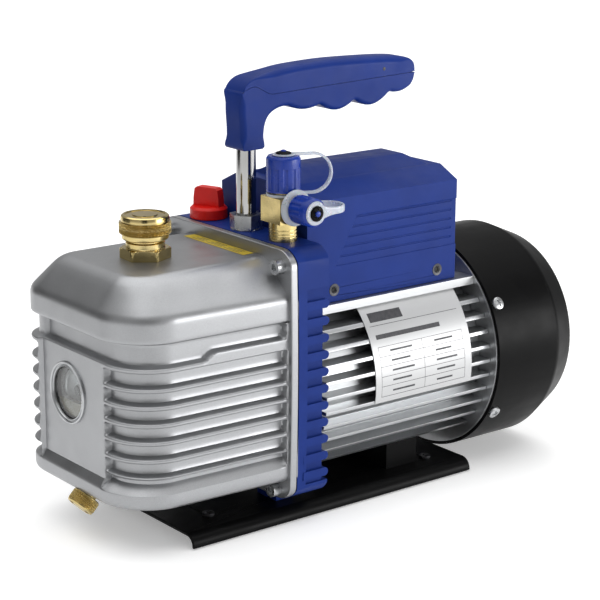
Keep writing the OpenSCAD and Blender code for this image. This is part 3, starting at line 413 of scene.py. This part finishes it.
def wall_depth(t):
    """Depth of a pocket at distance t inside its lip: rounded lip, steep wall, rounded foot."""
    lip, lip_depth, wall, foot = 0.8, 0.75, 0.3, 0.4
    if t <= -lip:
        return 0.0
    if t < 0:
        return lip_depth * ((t + lip) / lip) ** 2
    if t < wall:
        return lip_depth + (POCKET - lip_depth - foot) * t / wall
    if t < lip:
        return POCKET - foot * (1 - (t - wall) / (lip - wall)) ** 2
    return POCKET


def rounded_min(a, b, r):
    """The smaller of two distances from a slot's edges, with its corner rounded."""
    if a < r and b < r:
        return r - math.hypot(r - a, r - b)
    return min(a, b)


def above_floor(z, low, slope):
    """Distance above the sloping lower wall of a slot."""
    return (z - low) / slope if z > low else z - low


def pocket_depth(x, y, z, kind):
    """How deep the tank's skin lies below its outer form at one point."""
    best = 0.0
    front_edge = (SLOT_NEAR - y) if y < SIGHT_Y else (y - SLOT_FAR)
    rear_edge = SLOT_REAR - x
    ends = front_edge if kind == "front" else min(front_edge, rear_edge)
    for low, high in SLOTS:
        if low - 1 < z < high + 1:
            up = min(above_floor(z, low, 4.0), high - z)
            best = max(best, wall_depth(rounded_min(ends, up, 1.6)))
    # the wide groove below the shoulder band goes round the front
    low = GROOVE_LOW + GROOVE_STEP * eased((x + 60.5) / 8.5)
    if low - 1 < z < BAND_LOW + 1:
        up = min(above_floor(z, low, 3.5), (BAND_LOW - z) / 2)
        best = max(best, wall_depth(rounded_min(rear_edge, up, 3.0)))
    # the lowest slot: its lower wall is the chamfer above the skirt, its rear end is slanted
    if not 36 < z < LOWEST_ROOF + 1:
        return best
    if kind in ("far", "far_corner"):
        return max(best, wall_depth(min(front_edge, rear_edge, (z - 39) / 3, LOWEST_ROOF - z)))
    slant = (z - SKIRT_TOP) * 0.9 + (-9.5 - x) * 0.75
    chamfer = (z - SKIRT_TOP) / (FACE_LOW - SKIRT_TOP) * POCKET
    inner = wall_depth(min(front_edge, rear_edge, slant, LOWEST_ROOF - z))
    return max(best, min(max(0.0, chamfer), inner))


def tank_rows():
    """Rows up the tank as (z, length, half, flare, near radius, far radius)."""
    rows = []

    def form(z, proud, inset=0.0):
        rows.append((z, TANK_FACE + proud - inset, TANK_HALF - inset, TANK_FLARE,
                     NEAR_R + proud - inset * 0.6, FAR_R + TANK_PROUD - inset * 0.6))

    def rounded_start(low, r):
        for i in range(6):
            a = math.radians(90 * i / 5)
            form(low + r * (1 - math.cos(a)), TANK_PROUD, r * (1 - math.sin(a)))

    rounded_start(TANK_BOTTOM, 5.0)
    for z in (35.5, 36.8, 37.3):
        form(z, TANK_PROUD)
    form(SKIRT_TOP, TANK_PROUD - 0.15)
    for z in (38.2, 39.4, 40.7, 42, 42.7):
        form(z, TANK_PROUD * (FACE_LOW - z) / (FACE_LOW - SKIRT_TOP))

    levels = [FACE_LOW, 43.6, 45.0]
    for roof in [LOWEST_ROOF] + [high for low, high in SLOTS]:
        levels += [roof + d for d in (-0.8, -0.3, -0.15, 0, 0.3, 0.8)]
    for floor in [low for low, high in SLOTS] + [GROOVE_LOW]:
        levels += [floor + d for d in (-0.8, -0.3, 0, 0.4, 0.8, 1.2, 2.0, 3.5, 5.2)]
    levels += [109.8, 110.2, 110.6, 111.4, 112.2, 113.0, 113.4, 113.8, 114.2, 114.6, 115.6, 116.6,
               118, 120, 121, 121.9, 122.4, 122.55]
    last = 0.0
    for z in sorted(levels):
        if z - last > 0.12:
            form(z, 0.0)
            last = z

    rounded_start(BAND_LOW, 1.7)
    for z in (126, 128, 131, BAND_HIGH):
        form(z, TANK_PROUD)

    # t goes from 0 at the crease to 1 where the shoulders would meet the flat top
    rise = TANK_TOP - CREASE

    def shoulder(t, z):
        rows.append((z, TANK_FACE + TANK_PROUD - 14.0 * t, TANK_HALF - 17.5 * t,
                     TANK_FLARE * (1 - min(1, t)), 32 - 17 * t, 18.5 - 7.5 * t))

    start, end, past = 0.14, 0.7, 1.32      # the rounded crease ends, the rounded top edge starts, ends
    for i in range(1, 7):
        s = i / 6
        shoulder(s * s * start, (1 - s) ** 2 * BAND_HIGH + 2 * s * (1 - s) * CREASE
                 + s * s * (CREASE + start * rise))
    for t in (0.3, 0.45, 0.6):
        shoulder(t, CREASE + t * rise)
    for i in range(1, 9):
        s = i / 8
        shoulder((1 - s) ** 2 * end + 2 * s * (1 - s) + s * s * past,
                 (1 - s) ** 2 * (CREASE + end * rise) + (2 * s * (1 - s) + s * s) * TANK_TOP)
    return rows


def tank_shell():
    """The tank's outer form as one closed, solid mesh."""
    cols = plan_columns()
    rows = tank_rows()
    verts = []
    for z, length, half, flare, near_r, far_r in rows:
        for col in cols:
            x, y, n = plan_point(col, length, half, flare, near_r, far_r)
            d = pocket_depth(x, y, z, col[0]) if 36 < z < 123 else 0.0
            verts.append(at(min(0.0, x - n[0] * d), y - n[1] * d, z))
    w = len(cols)
    faces = []
    for j in range(len(rows) - 1):
        for i in range(w - 1):
            a = j * w + i
            faces.append((a, a + w, a + w + 1, a + 1))
    starts = [j * w for j in range(len(rows))]
    faces.append(tuple(range(w)))
    faces.append(tuple(starts[-1] + i for i in reversed(range(w))))
    faces.append(tuple(reversed(starts)) + tuple(a + w - 1 for a in starts))
    return verts, faces


def cut_round_hole(obj, centre, axis, radius, depth):
    """Cuts one round hole into a closed mesh and keeps the cut mesh as its data."""
    ring = 64
    side = axis.orthogonal().normalized()
    up = axis.cross(side)
    verts = []
    for k in (-1, 1):
        for i in range(ring):
            a = 2 * math.pi * i / ring
            verts.append(centre + axis * depth * k + (side * math.cos(a) + up * math.sin(a)) * radius)
    faces = between_rings(2, ring) + [first_cap(ring), last_cap(2, ring)]
    mesh = bpy.data.meshes.new("cutter")
    mesh.from_pydata([tuple(v) for v in verts], [], faces)
    cutter = bpy.data.objects.new("cutter", mesh)
    bpy.context.scene.collection.objects.link(cutter)
    m = obj.modifiers.new("hole", "BOOLEAN")
    m.operation = "DIFFERENCE"
    m.solver = "EXACT"
    m.object = cutter
    bpy.context.view_layer.update()
    graph = bpy.context.evaluated_depsgraph_get()
    cut = bpy.data.meshes.new_from_object(obj.evaluated_get(graph))
    obj.modifiers.remove(m)
    obj.data = cut
    bpy.data.objects.remove(cutter)


def build_tank():
    verts, faces = tank_shell()
    shell = new_piece("tank_shell", verts, faces, "silver_casting", None, 28)
    cut_round_hole(shell, at(-TANK_FACE, SIGHT_Y, SIGHT_Z), Vector((1, 0, 0)), 0.017, 0.013)
    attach(shell, "pump")
    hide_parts("oil_tank")


def build_tank_flange():
    """The flange plate: round corners and sides that bow out a little."""
    half, low, high, r = 64.0, 16.1, 162.7, 13.0
    bow = 1600.0                            # radius of the bowed sides
    front, back = -5.0, -0.4
    mid = (low + high) / 2

    def bowed(z):
        return math.sqrt(bow ** 2 - (z - mid) ** 2) - (bow - half)

    corners = []
    for sy, sz, start in ((-1, -1, 180), (1, -1, 270), (1, 1, 0), (-1, 1, 90)):
        for i in range(9):
            a = math.radians(start + 90 * i / 8)
            y = sy * (half - r) + r * math.cos(a)
            z = (low + r if sz < 0 else high - r) + r * math.sin(a)
            corners.append((max(-bowed(z), min(bowed(z), y)), z))
    heights = [low + r + (high - low - 2 * r) * i / 12 for i in range(1, 12)]
    outline = (corners[:18] + [(bowed(z), z) for z in heights]
               + corners[18:] + [(-bowed(z), z) for z in reversed(heights)])
    n = len(outline)
    verts = [at(x, y, z) for x in (front, back) for y, z in outline]
    faces = [(i, n + i, n + (i + 1) % n, (i + 1) % n) for i in range(n)]
    faces += [tuple(range(n)), tuple(reversed(range(n, 2 * n)))]
    flange = new_piece("tank_flange", verts, faces, "silver_casting")
    softened(flange, 0.0007, 3, weld=False)
    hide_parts("oil_tank")


# ---------------------------------------------------------------- handle

HANDLE_HALF = 9.0        # half the handle's width

# parting line between cover and grip in the side view, from the rear end to the front
SEAM = [(130.5, 244.6), (110, 243.9), (80, 242.9), (50, 241.9), (26, 241.0), (21, 241.4),
        (17, 243.2), (13, 245.4), (9.5, 246.2), (5, 245.0), (1, 243.0)]


def curve_through(points, steps):
    """Open Catmull-Rom curve through 2D points."""
    out = []
    n = len(points)
    for i in range(n - 1):
        knots = points[max(i - 1, 0)], points[i], points[i + 1], points[min(i + 2, n - 1)]
        for k in range(steps):
            t = k / steps
            out.append(tuple(
                0.5 * (2 * b + (c - a) * t + (2 * a - 5 * b + 4 * c - d) * t * t
                       + (3 * b - a - 3 * c + d) * t ** 3)
                for a, b, c, d in zip(*knots)))
    out.append(points[-1])
    return out


def finger_line():
    """Underside of the grip from the rear end to the leg, with its four finger rests."""
    knots = [(130.2, 244.2), (129.2, 240.0), (126.6, 236.2), (121.5, 233.6), (115.5, 233.3)]
    crests = [(111.5, 233.8), (84.5, 231.4), (58.5, 231.2), (34.5, 232.9)]
    lows = [228.6, 227.0, 228.8]
    for k, low in enumerate(lows):
        (xa, za), (xb, zb) = crests[k], crests[k + 1]
        for i in range(8):
            t = i / 8
            z = za + (zb - za) * t - (za - low) * math.sin(math.pi * t)
            knots.append((xa + (xb - xa) * t, z))
    knots += [crests[3], (28.6, 232.3), (23.4, 230.2), (20.2, 227.2), (18.4, 223), (17.7, 218),
              (17.5, 213.4)]
    return knots


def shell_from(loop, half):
    """A closed body from an outline in the side view, given as (x, z, inset, depth).

    Each point says how far its rounding reaches in from the outline and down from the side.
    """
    n = len(loop)
    normals = []
    for i in range(n):
        ax, az = loop[i - 1][:2]
        bx, bz = loop[(i + 1) % n][:2]
        dx, dz = bx - ax, bz - az
        size = math.hypot(dx, dz) or 1
        normals.append((dz / size, -dx / size))
    doubled_area = sum(loop[i - 1][0] * loop[i][1] - loop[i][0] * loop[i - 1][1] for i in range(n))
    sign = 1 if doubled_area > 0 else -1
    steps = 7
    verts = []
    for side in (-1, 1):
        for k in range(steps):
            a = math.radians(90 * (k if side < 0 else steps - 1 - k) / (steps - 1))
            for (x, z, inset, depth), (nx, nz) in zip(loop, normals):
                d = inset * (1 - math.sin(a))
                y = side * (half - depth * (1 - math.cos(a)))
                verts.append(at(x - sign * nx * d, y, z - sign * nz * d))
    count = 2 * steps
    return verts, between_rings(count, n) + [first_cap(n), last_cap(count, n)]


def build_handle():
    """Cover, grip with its finger rests and leg, and a plug on each side."""
    top = curve_through([(2.1, 243.2), (4.2, 246.6), (8.0, 249.8), (14.5, 251.9), (33, 255.0),
                         (52, 256.2), (71, 256.6), (100, 255.9), (117, 254.9), (125.6, 253.2),
                         (129.5, 249.8), (130.3, 244.8)], 5)
    seam = curve_through(SEAM, 3)
    cover = []
    for x, z in top:
        k = 0.3 + 4.3 * eased((x - 3) / 24) * eased((130.5 - x) / 13)
        cover.append((x, z, k, k + 0.4))
    cover += [(x, z, 0, 0) for x, z in seam[1:-1]]
    verts, faces = shell_from(cover, HANDLE_HALF)
    piece = flat_faces_kept(new_piece("handle_top", verts, faces, "blue_plastic", smooth=40))
    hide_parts("handle_cover")

    under = curve_through(finger_line(), 3)
    front = curve_through([(3.2, 210.0), (2.2, 211.2), (2.0, 214), (1.9, 222), (1.3, 230), (1.2, 236),
                           (1.5, 242.4)], 4)
    foot = [(17.4, 211.4), (16.2, 210.1), (10, 210)]
    seam_low = [(x, z - 0.25) for x, z in reversed(seam)]
    outline = []
    for x, z in under + foot:
        k = 0.3 + 2.3 * eased((131 - x) / 9) * eased((z - 211.5) / 6)
        outline.append((x, z, k, k))
    for x, z in front:
        k = 0.3 + 3.0 * eased((z - 211.5) / 6) * eased((243.5 - z) / 8)
        outline.append((x, z, k, k))
    outline += [(x, z, 0, 0) for x, z in seam_low[1:-1]]
    verts, faces = shell_from(outline, HANDLE_HALF)
    piece = flat_faces_kept(new_piece("handle_body", verts, faces, "blue_plastic", smooth=40))
    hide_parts("handle_grip")

    # small dark plug in the side of the grip
    for side in (-1, 1):
        verts, faces = lathe([(0.01, 0.08), (0.95, 0.08), (1.1, 0)], 24)
        place = Matrix.Translation(at(106, side * HANDLE_HALF, 248.2)) @ Matrix.Rotation(
            math.radians(90 if side < 0 else -90), 4, "X")
        new_piece("grip_plug_" + near_or_far(side), [place @ v for v in verts], faces,
                  "black_plastic")


# ---------------------------------------------------------------- turned parts

def diamond_knurl(count, low, high, depth):
    """Crossed helical grooves between two heights."""
    turn = 2.2

    def shape(a, h, r):
        if not low <= h <= high:
            return 0.0
        u = math.sin(count * a / 2 + h * turn * 2)
        v = math.sin(count * a / 2 - h * turn * 2)
        return depth * (abs(u) * abs(v)) ** 0.6 - depth * 0.35
    return shape


def build_filler():
    low, high = 3.9, 10.2
    heights = [low + (high - low) * i / 34 for i in range(35)]
    profile = [(9.9, 0.3), (12.4, 0.3), (13.0, 0.8), (13.1, 1.4), (13.1, 3.2), (12.8, 3.6), (12.8, 3.8)]
    profile += [(14.0, h) for h in heights]
    profile += [(13.0, 10.3), (13.0, 10.6), (13.6, 10.9), (13.6, 12.7), (13.3, 13.6), (12.5, 14.2),
                (11.3, 14.3), (11.1, 13.8), (7.2, 13.8), (7.0, 14.3), (0.01, 14.4)]
    verts, faces = lathe(profile, 352, diamond_knurl(48, low, high, 1.1))
    place = Matrix.Translation(at(FILLER_X, 0, 166.5))
    cap = new_piece("filler_cap_turned", [place @ v for v in verts], faces, "brass", "filler_cap", 30)
    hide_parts("filler_cap")

    # neck with its hexagon
    verts, faces = lathe([(12.2, 6.0), (11.2, 6.1), (11.0, 6.4), (11.0, 9.0), (10.5, 9.5), (9.8, 9.7),
                          (9.8, 19.7), (7.0, 20), (7.0, 12)], 96)
    place = Matrix.Translation(at(FILLER_X, 0, TANK_TOP))
    neck = new_piece("filler_neck_turned", [place @ v for v in verts], faces, "brass")
    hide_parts("filler_neck")

    # the hexagon's corners are turned off at the top by a cone
    flats, turn = 25.4, math.radians(24.6)
    reach = flats / math.sqrt(3)
    ring = [(0.0, 0.05), (0.0, 0.6), (0.0, 5.2), (-0.35, 5.7), (-1.2, 6.1)]
    verts = []
    n = 180
    for inset, h in ring:
        for i in range(n):
            a = 2 * math.pi * i / n
            k = (a - turn) % (math.pi / 3) - math.pi / 6
            r = min(flats / 2 / math.cos(k), reach - 0.25 + inset)
            verts.append(place @ Vector((r * math.cos(a) * MM, r * math.sin(a) * MM, h * MM)))
    faces = between_rings(len(ring), n) + [last_cap(len(ring), n)]
    hexa = new_piece("filler_hexagon", verts, faces, "brass", smooth=22)
    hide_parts("filler_neck")


def build_sight():
    """The level window: bright ring, black seal, reflector with its centre boss, and the oil."""
    front = facing((-1, 0, 0), at(-TANK_FACE, SIGHT_Y, SIGHT_Z))
    ring = placed("sight_ring_turned", [
        (17.9, -0.5), (17.9, 0.9), (17.5, 1.3), (17.0, 1.3), (16.6, 0.9), (16.5, 0.3), (16.1, 0.2),
        (15.7, 0.8), (15.3, 0.9), (15.0, 0.5), (14.9, -1.0)], front, "bare_aluminium")
    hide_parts("sight_ring")
    seal = placed("sight_seal_turned", [
        (16.9, -0.6), (15.2, -0.4), (14.9, -0.2), (14.5, -0.4), (14.3, -1.4), (14.1, -5.0),
        (12.6, -8.6)], front, "black_rubber")
    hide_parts("sight_seal")
    dish = placed("sight_dish", [
        (14.6, -7.6), (12.4, -7.8), (12.0, -8.4), (9.0, -8.8), (6.0, -9.0), (3.4, -8.9), (3.1, -8.4),
        (2.9, -8.2)], front, "bare_aluminium")
    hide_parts("sight_reflector")
    boss = placed("sight_boss", [(2.9, -8.2), (2.6, -7.4), (1.4, -7.1), (0.01, -7.1)], front,
                  "dark_steel")
    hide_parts("sight_reflector")
    # oil stands in the lower third of the window
    level = -5.4
    rim = 14.2
    points = []
    start = math.asin(level / rim)
    for i in range(33):
        a = math.pi - start + (math.pi + 2 * start) * i / 32
        points.append((rim * math.cos(a), rim * math.sin(a)))
    verts = [at(-TANK_FACE + d, SIGHT_Y - y, SIGHT_Z + z) for d in (4.3, 7.4) for y, z in points]
    n = len(points)
    faces = [tuple(range(n)), tuple(reversed(range(n, 2 * n)))]
    faces += [(i, n + i, n + (i + 1) % n, (i + 1) % n) for i in range(n)]
    oil = new_piece("sight_oil", verts, faces, "oil")
    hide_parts("sight_reflector")


def plate_on_fins(name, x0, x1, a0, a1, radius, thick, slot, segments=24):
    """A sheet bent round the motor, from a0 to a1 degrees above the near horizontal."""
    verts = []
    for r in (radius, radius + thick):
        for x in (x0, x1):
            for i in range(segments + 1):
                a = math.radians(a0 + (a1 - a0) * i / segments)
                verts.append(at(x, -r * math.cos(a), MOTOR_Z + r * math.sin(a)))
    w = segments + 1
    faces = []
    for i in range(segments):
        faces.append((2 * w + i, 3 * w + i, 3 * w + i + 1, 2 * w + i + 1))
        faces.append((i, i + 1, w + i + 1, w + i))
        faces.append((i, 2 * w + i, 2 * w + i + 1, i + 1))
        faces.append((w + i, w + i + 1, 3 * w + i + 1, 3 * w + i))
    faces.append((0, w, 3 * w, 2 * w))
    faces.append((w - 1, 3 * w - 1, 4 * w - 1, 2 * w - 1))
    return new_piece(name, verts, faces, slot)


def build_rating_plate():
    """A blank rating plate with a ruled table and plain bars instead of any wording."""
    r = 61.65
    piece = plate_on_fins("rating_sheet", 58.5, 134.0, -9.0, 46.0, r, 0.4, "label_silver", 40)
    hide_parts("rating_plate")
    top = r + 0.4

    def mark(name, x0, x1, a0, a1):
        line = plate_on_fins(name, x0, x1, a0, a1, top, 0.05, "print_black", 6)
        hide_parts("rating_plate")

    left, middle, right = 63.0, 96.5, 128.5
    rows = [-5.8, 0.0, 5.4, 10.8, 16.2, 21.6]
    for i, a in enumerate(rows):
        mark(f"rating_row_{i}", left, right, a - 0.12, a + 0.12)
    for i, x in enumerate((left, middle, right)):
        mark(f"rating_column_{i}", x - 0.12, x + 0.12, rows[0], rows[-1])
    for i in range(5):
        a = rows[i] + 2.7
        mark(f"rating_entry_{i}_0", 71.5, 88.5 - 2.5 * (i % 2), a - 0.5, a + 0.5)
        mark(f"rating_entry_{i}_1", 106.0, 118.5 + 2.0 * (i % 3), a - 0.5, a + 0.5)
    mark("rating_rule", 61.5, 129.5, 33.4, 33.65)
    mark("rating_title", 63.5, 113.0, 25.9, 28.4)
    mark("rating_block", 63.0, 88.0, 35.6, 41.2)


def build_caution_strip():
    """The yellow strip on the tank with plain bars instead of wording."""
    cx, cy, z = -9.2, 0.0, 156.05

    def slab(name, x0, x1, y0, y1, z0, z1, slot):
        verts = [at(x, y, h) for h in (z0, z1) for x, y in ((x0, y0), (x1, y0), (x1, y1), (x0, y1))]
        faces = [(3, 2, 1, 0), (4, 5, 6, 7), (0, 1, 5, 4), (1, 2, 6, 5), (2, 3, 7, 6), (3, 0, 4, 7)]
        return new_piece(name, verts, faces, slot)

    strip = slab("caution_strip", cx - 3.8, cx + 3.8, cy - 29, cy + 29, z, z + 0.15, "caution_yellow")
    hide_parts("caution_label")
    for i, x in enumerate((-1.9, 0.0, 1.9)):
        for k, (y0, y1) in enumerate(((-23, -8), (-6, 9), (11, 23))):
            bar = slab(f"caution_bar_{i}_{k}", cx + x - 0.3, cx + x + 0.3, cy + y0, cy + y1 - 2 * i,
                       z + 0.15, z + 0.18, "print_black")
            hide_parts("caution_label")


def cross_head(place, name, slot):
    """A pan head screw with a cross recess, as a disc whose top dips along the cross."""
    profile = [(4.0, 0.0), (4.0, 0.9), (3.8, 1.5)]
    profile += [(3.6 - 0.12 * i, 1.62 + 0.5 * math.sin(i / 30 * math.pi / 2)) for i in range(31)]
    verts, faces = lathe(profile, 96)
    sunk = []
    for v in verts:
        x, y, z = v / MM
        arm = min(abs(x), abs(y))
        reach = max(abs(x), abs(y))
        if z > 1.4 and arm < 0.55 and reach < 2.3:
            z -= 1.0 * min(1.0, (2.3 - reach) * 2)
        sunk.append(place @ Vector((x * MM, y * MM, z * MM)))
    faces.append(tuple(range(len(verts) - 96, len(verts))))
    return new_piece(name, sunk, faces, slot, smooth=25)


def build_cover_screws():
    for a in (30, 150, 210, 330):
        out = Vector((0, math.cos(math.radians(a)), math.sin(math.radians(a))))
        centre = at(156, 69.0 * out.y, MOTOR_Z + 69.0 * out.z)
        piece = cross_head(facing(out, centre) @ Matrix.Rotation(math.radians(17), 4, "Z"),
                           f"fan_cover_screw_{a}", "zinc_steel")
        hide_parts("cover_screws")
    for side in (-1, 1):
        for k, x in enumerate((43.2, 122.8)):
            place = facing((0, side, 0), at(x, side * 41.2, 129.5))
            head = placed(f"box_screw_{k}_" + near_or_far(side), [
                (3.7, -0.1), (3.6, 0.22), (2.2, 0.1), (1.8, -0.2), (1.45, -0.4)], place, "dark_steel",
                segments=48)
            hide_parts("cover_screws")
            # painted shade: each box screw's hex socket uses the near-black black_rubber finish, darker
            # than the screw's dark steel, to stand for the shade inside the recess
            hole = placed(f"box_screw_recess_{k}_" + near_or_far(side), [
                (1.5, -0.35), (1.4, -0.75), (0.01, -0.8)], place, "black_rubber", segments=6, smooth=20)
            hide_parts("cover_screws")


def build_push_nuts():
    """The notched black push nut and the blue pin on each intake cap."""
    def notched(a, h, r):
        return -0.9 if r < 2.8 and math.cos(6 * a) > 0.2 else 0.0

    for node, body, place in (
            ("top_cap_button", "top_cap", facing((0, 0, 1), at(INTAKE_X, INTAKE_Y, 212.15))),
            ("side_cap_button", "side_cap", facing((0, -1, 0), at(INTAKE_X, -65.15, PORT_Z)))):
        nut = placed(node + "_nut", [(4.4, 0.1), (4.4, 0.5), (4.0, 0.75), (3.2, 0.95), (2.6, 1.25),
                                     (2.5, 1.1), (2.5, 0.5)], place, "black_sheet", body, 96, notched)
        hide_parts(node)
        pin = placed(node + "_pin", [(1.6, 0.2), (1.6, 1.5), (1.3, 1.9), (0.7, 2.1), (0.01, 2.15)],
                     place, "cap_blue", body, 48)
        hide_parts(node)


# ---------------------------------------------------------------- cap straps and drain cap

def rounded(profile, place, segments=72):
    """A turned ring whose profile closes on itself."""
    verts, faces = lathe(profile, segments)
    last = (len(profile) - 1) * segments
    for i in range(segments):
        b = (i + 1) % segments
        faces.append((last + i, last + b, b, i))
    return [place @ v for v in verts], faces


def strap_band(start, end, bend, mid, half, thick, width, tab, place):
    """The flat band: out from the eye, round the bend and back to the collar.

    X points away from the cap and Z along its axis, in millimetres.
    """
    path = [(start + (bend - start) * i / 10, mid + half, 0.0, 1.0) for i in range(10)]
    for i in range(25):
        t = math.pi / 2 - math.pi * i / 24
        path.append((bend + half * math.cos(t), mid + half * math.sin(t), math.cos(t), math.sin(t)))
    path += [(bend - (bend - end) * i / 10, mid - half, 0.0, -1.0) for i in range(1, 11)]
    verts = []
    n = 20
    for k, (x, z, nx, nz) in enumerate(path):
        near_end = min(k, len(path) - 1 - k) / 9
        w = width + tab * max(0.0, 1 - near_end) ** 2
        for i in range(n):
            a = 2 * math.pi * i / n
            c, d = math.cos(a), math.sin(a)
            across = w / 2 * math.copysign(abs(c) ** 0.4, c)
            out = thick / 2 * math.copysign(abs(d) ** 0.6, d)
            verts.append(place @ Vector(((x + nx * out) * MM, across * MM, (z + nz * out) * MM)))
    return verts, between_rings(len(path), n) + [first_cap(n), last_cap(len(path), n)]


def joined(parts):
    """Several (verts, faces) as one."""
    verts, faces = [], []
    for v, f in parts:
        base = len(verts)
        verts += v
        faces += [tuple(i + base for i in face) for face in f]
    return verts, faces


def capped_frame(origin, axis, away):
    """Z along the cap's axis and X towards the strap's bend."""
    z, x = Vector(axis).normalized(), Vector(away).normalized()
    turn = Matrix((x, z.cross(x), z)).transposed().to_4x4()
    return Matrix.Translation(origin) @ turn


def build_straps():
    """Each strap is an eye under the push nut, a band and a collar round the port."""
    a = math.radians(-20)
    place = capped_frame(at(INTAKE_X, INTAKE_Y, 0), (0, 0, 1), (math.cos(a), math.sin(a), 0))
    eye = rounded([(1.7, 211.2), (6.0, 211.1), (6.4, 211.5), (6.1, 212.0), (1.7, 212.1)], place)
    collar = rounded([(7.4, 188.3), (9.3, 188.3), (9.6, 188.6), (9.6, 189.6), (9.3, 189.9), (7.4, 189.9)],
                     place)
    band = strap_band(5.0, 8.6, 17.05, 200.25, 11.15, 1.6, 3.0, 3.4, place)
    verts, faces = joined([eye, collar, band])
    strap = new_piece("top_strap_moulded", verts, faces, "clear_strap", None, 40)
    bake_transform(strap)
    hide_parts("top_cap_strap")

    place = capped_frame(at(INTAKE_X, 0, PORT_Z), (0, -1, 0), (1, 0, 0))
    eye = rounded([(1.7, 64.1), (6.4, 64.0), (6.8, 64.4), (6.4, 65.1), (1.7, 65.15)], place)
    collar = rounded([(5.35, 44.7), (7.4, 44.8), (7.8, 45.3), (10.0, 45.9), (10.4, 46.3), (10.4, 46.9),
                      (9.9, 47.7), (7.6, 48.6), (5.35, 48.8)], place)
    band = strap_band(5.6, 9.2, 15.4, 55.6, 8.85, 1.5, 4.0, 3.0, place)
    verts, faces = joined([eye, collar, band])
    strap = new_piece("side_strap_moulded", verts, faces, "clear_strap", None, 40)
    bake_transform(strap)
    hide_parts("side_cap_strap")


def build_drain_cap():
    low, high = -2.8, 2.6
    profile = [(0.01, 1.9), (5.1, 1.9), (5.3, 1.6), (5.3, -3.8), (5.6, -4.0), (7.7, -4.0), (8.2, -3.5),
               (8.2, -3.1)]
    profile += [(8.0, low + (high - low) * i / 26) for i in range(27)]
    profile += [(8.2, 2.9), (8.2, 3.3), (7.7, 3.9), (6.8, 4.0), (6.6, 3.8), (6.6, 3.3), (4.4, 3.3),
                (4.4, 3.8), (4.2, 4.0), (0.01, 4.0)]
    cap = placed("drain_cap_turned", profile, facing((-1, 0, -1), at(-103.5, 0, 21.3)), "brass",
                 "drain_cap", 240, diamond_knurl(34, low, high, 0.8), 30)
    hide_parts("drain_cap")


# ---------------------------------------------------------------- finish of the kept CAD nodes

# width of the rounded edges in metres, where it isn't the usual one
EDGE = {"pump_bracket": 0.0007, "base_plate": 0.0005, "terminal_cover": 0.0006, "fan_cover": 0.0006,
        "motor_housing": 0.0003, "ballast_knob": 0.0005, "hex_bolts": 0.0003, "handle_nut": 0.0004,
        "intake_body": 0.0003}
USUAL_EDGE = 0.00025


def finish_nodes():
    for entry in frame["record"]["subparts"]:
        node = frame["nodes"].get(entry["node"])
        if node is None:
            continue
        node.data.materials.clear()
        node.data.materials.append(MATERIALS[entry["material_slot"]])
        softened(node, EDGE.get(entry["node"], USUAL_EDGE))


# ---------------------------------------------------------------- camera, lights, floor

def build_camera():
    data = bpy.data.cameras.new("camera")
    data.lens = 112.48
    data.sensor_width = 36
    camera = bpy.data.objects.new("camera", data)
    camera.location = (-0.67121, -0.85044, 0.40791)
    camera.rotation_euler = [math.radians(d) for d in (74.7556, -0.2925, -38.047)]
    bpy.context.scene.collection.objects.link(camera)
    bpy.context.scene.camera = camera


def area(name, place, target, size, power):
    data = bpy.data.lights.new(name, "AREA")
    data.shape = "RECTANGLE"
    data.size, data.size_y = size
    data.energy = power
    lamp = bpy.data.objects.new(name, data)
    lamp.location = place
    lamp.rotation_euler = (Vector(target) - Vector(place)).to_track_quat("-Z", "Y").to_euler()
    bpy.context.scene.collection.objects.link(lamp)


def flag(name, place, width, height):
    """A dark upright panel on the floor, facing the pump.

    The camera doesn't see it; it darkens reflections and takes light away.
    """
    away = Vector((*place, 0)).normalized()
    side = Vector((-away.y, away.x, 0)) * width / 2
    foot = Vector((*place, cad_box[0].z))
    rise = Vector((0, 0, height))
    mesh = bpy.data.meshes.new(name)
    mesh.from_pydata([foot - side, foot + side, foot + side + rise, foot - side + rise],
                     [], [(0, 1, 2, 3)])
    panel = bpy.data.objects.new(name, mesh)
    bpy.context.scene.collection.objects.link(panel)
    shader = Shader(name, (0.02, 0.02, 0.02), 0.9)
    shader.vary_rough(5, 0.05).vary_colour(6, (0.015, 0.015, 0.015)).grain(60, 0.0005, 0.2)
    mesh.materials.append(shader.material)
    panel.visible_camera = False


def build_stage():
    size = 8.0
    mesh = bpy.data.meshes.new("floor")
    z = cad_box[0].z
    mesh.from_pydata([(-size, -size, z), (size, -size, z), (size, size, z), (-size, size, z)],
                     [], [(0, 1, 2, 3)])
    floor = bpy.data.objects.new("floor", mesh)
    bpy.context.scene.collection.objects.link(floor)
    shader = Shader("floor_paper", (0.93, 0.93, 0.93), 0.8)
    shader.vary_rough(3, 0.05).vary_colour(2, (0.92, 0.92, 0.92)).grain(40, 0.0002, 0.1)
    shader.set(Emission_Color=(1, 1, 1, 1), Emission_Strength=0.3)
    mesh.materials.append(shader.material)

    world = bpy.data.worlds.new("studio")
    bpy.context.scene.world = world
    world.use_nodes = True
    ground = world.node_tree.nodes["Background"]
    ground.inputs["Color"].default_value = (1, 1, 1, 1)
    ground.inputs["Strength"].default_value = 0.4
    bpy.context.scene.view_settings.view_transform = "Standard"

    area("ceiling", (0.3, 0.6, 3.6), (0.3, 0.6, 0), (6.0, 6.0), 175)
    area("key", (1.15, -1.35, 0.3), (0, 0, 0.1), (1.3, 0.6), 17)
    flag("flag_left", (-0.8, 0.66), 0.95, 0.6)
    flag("flag_right", (1.9, -0.2), 0.5, 1.0)
    flag("flag_behind_camera", (-1.25, -1.6), 0.9, 1.5)


make_materials()
finish_nodes()
build_tank()
build_tank_flange()
build_handle()
build_filler()
build_sight()
build_rating_plate()
build_caution_strip()
build_cover_screws()
build_push_nuts()
build_straps()
build_drain_cap()
build_camera()
build_stage()
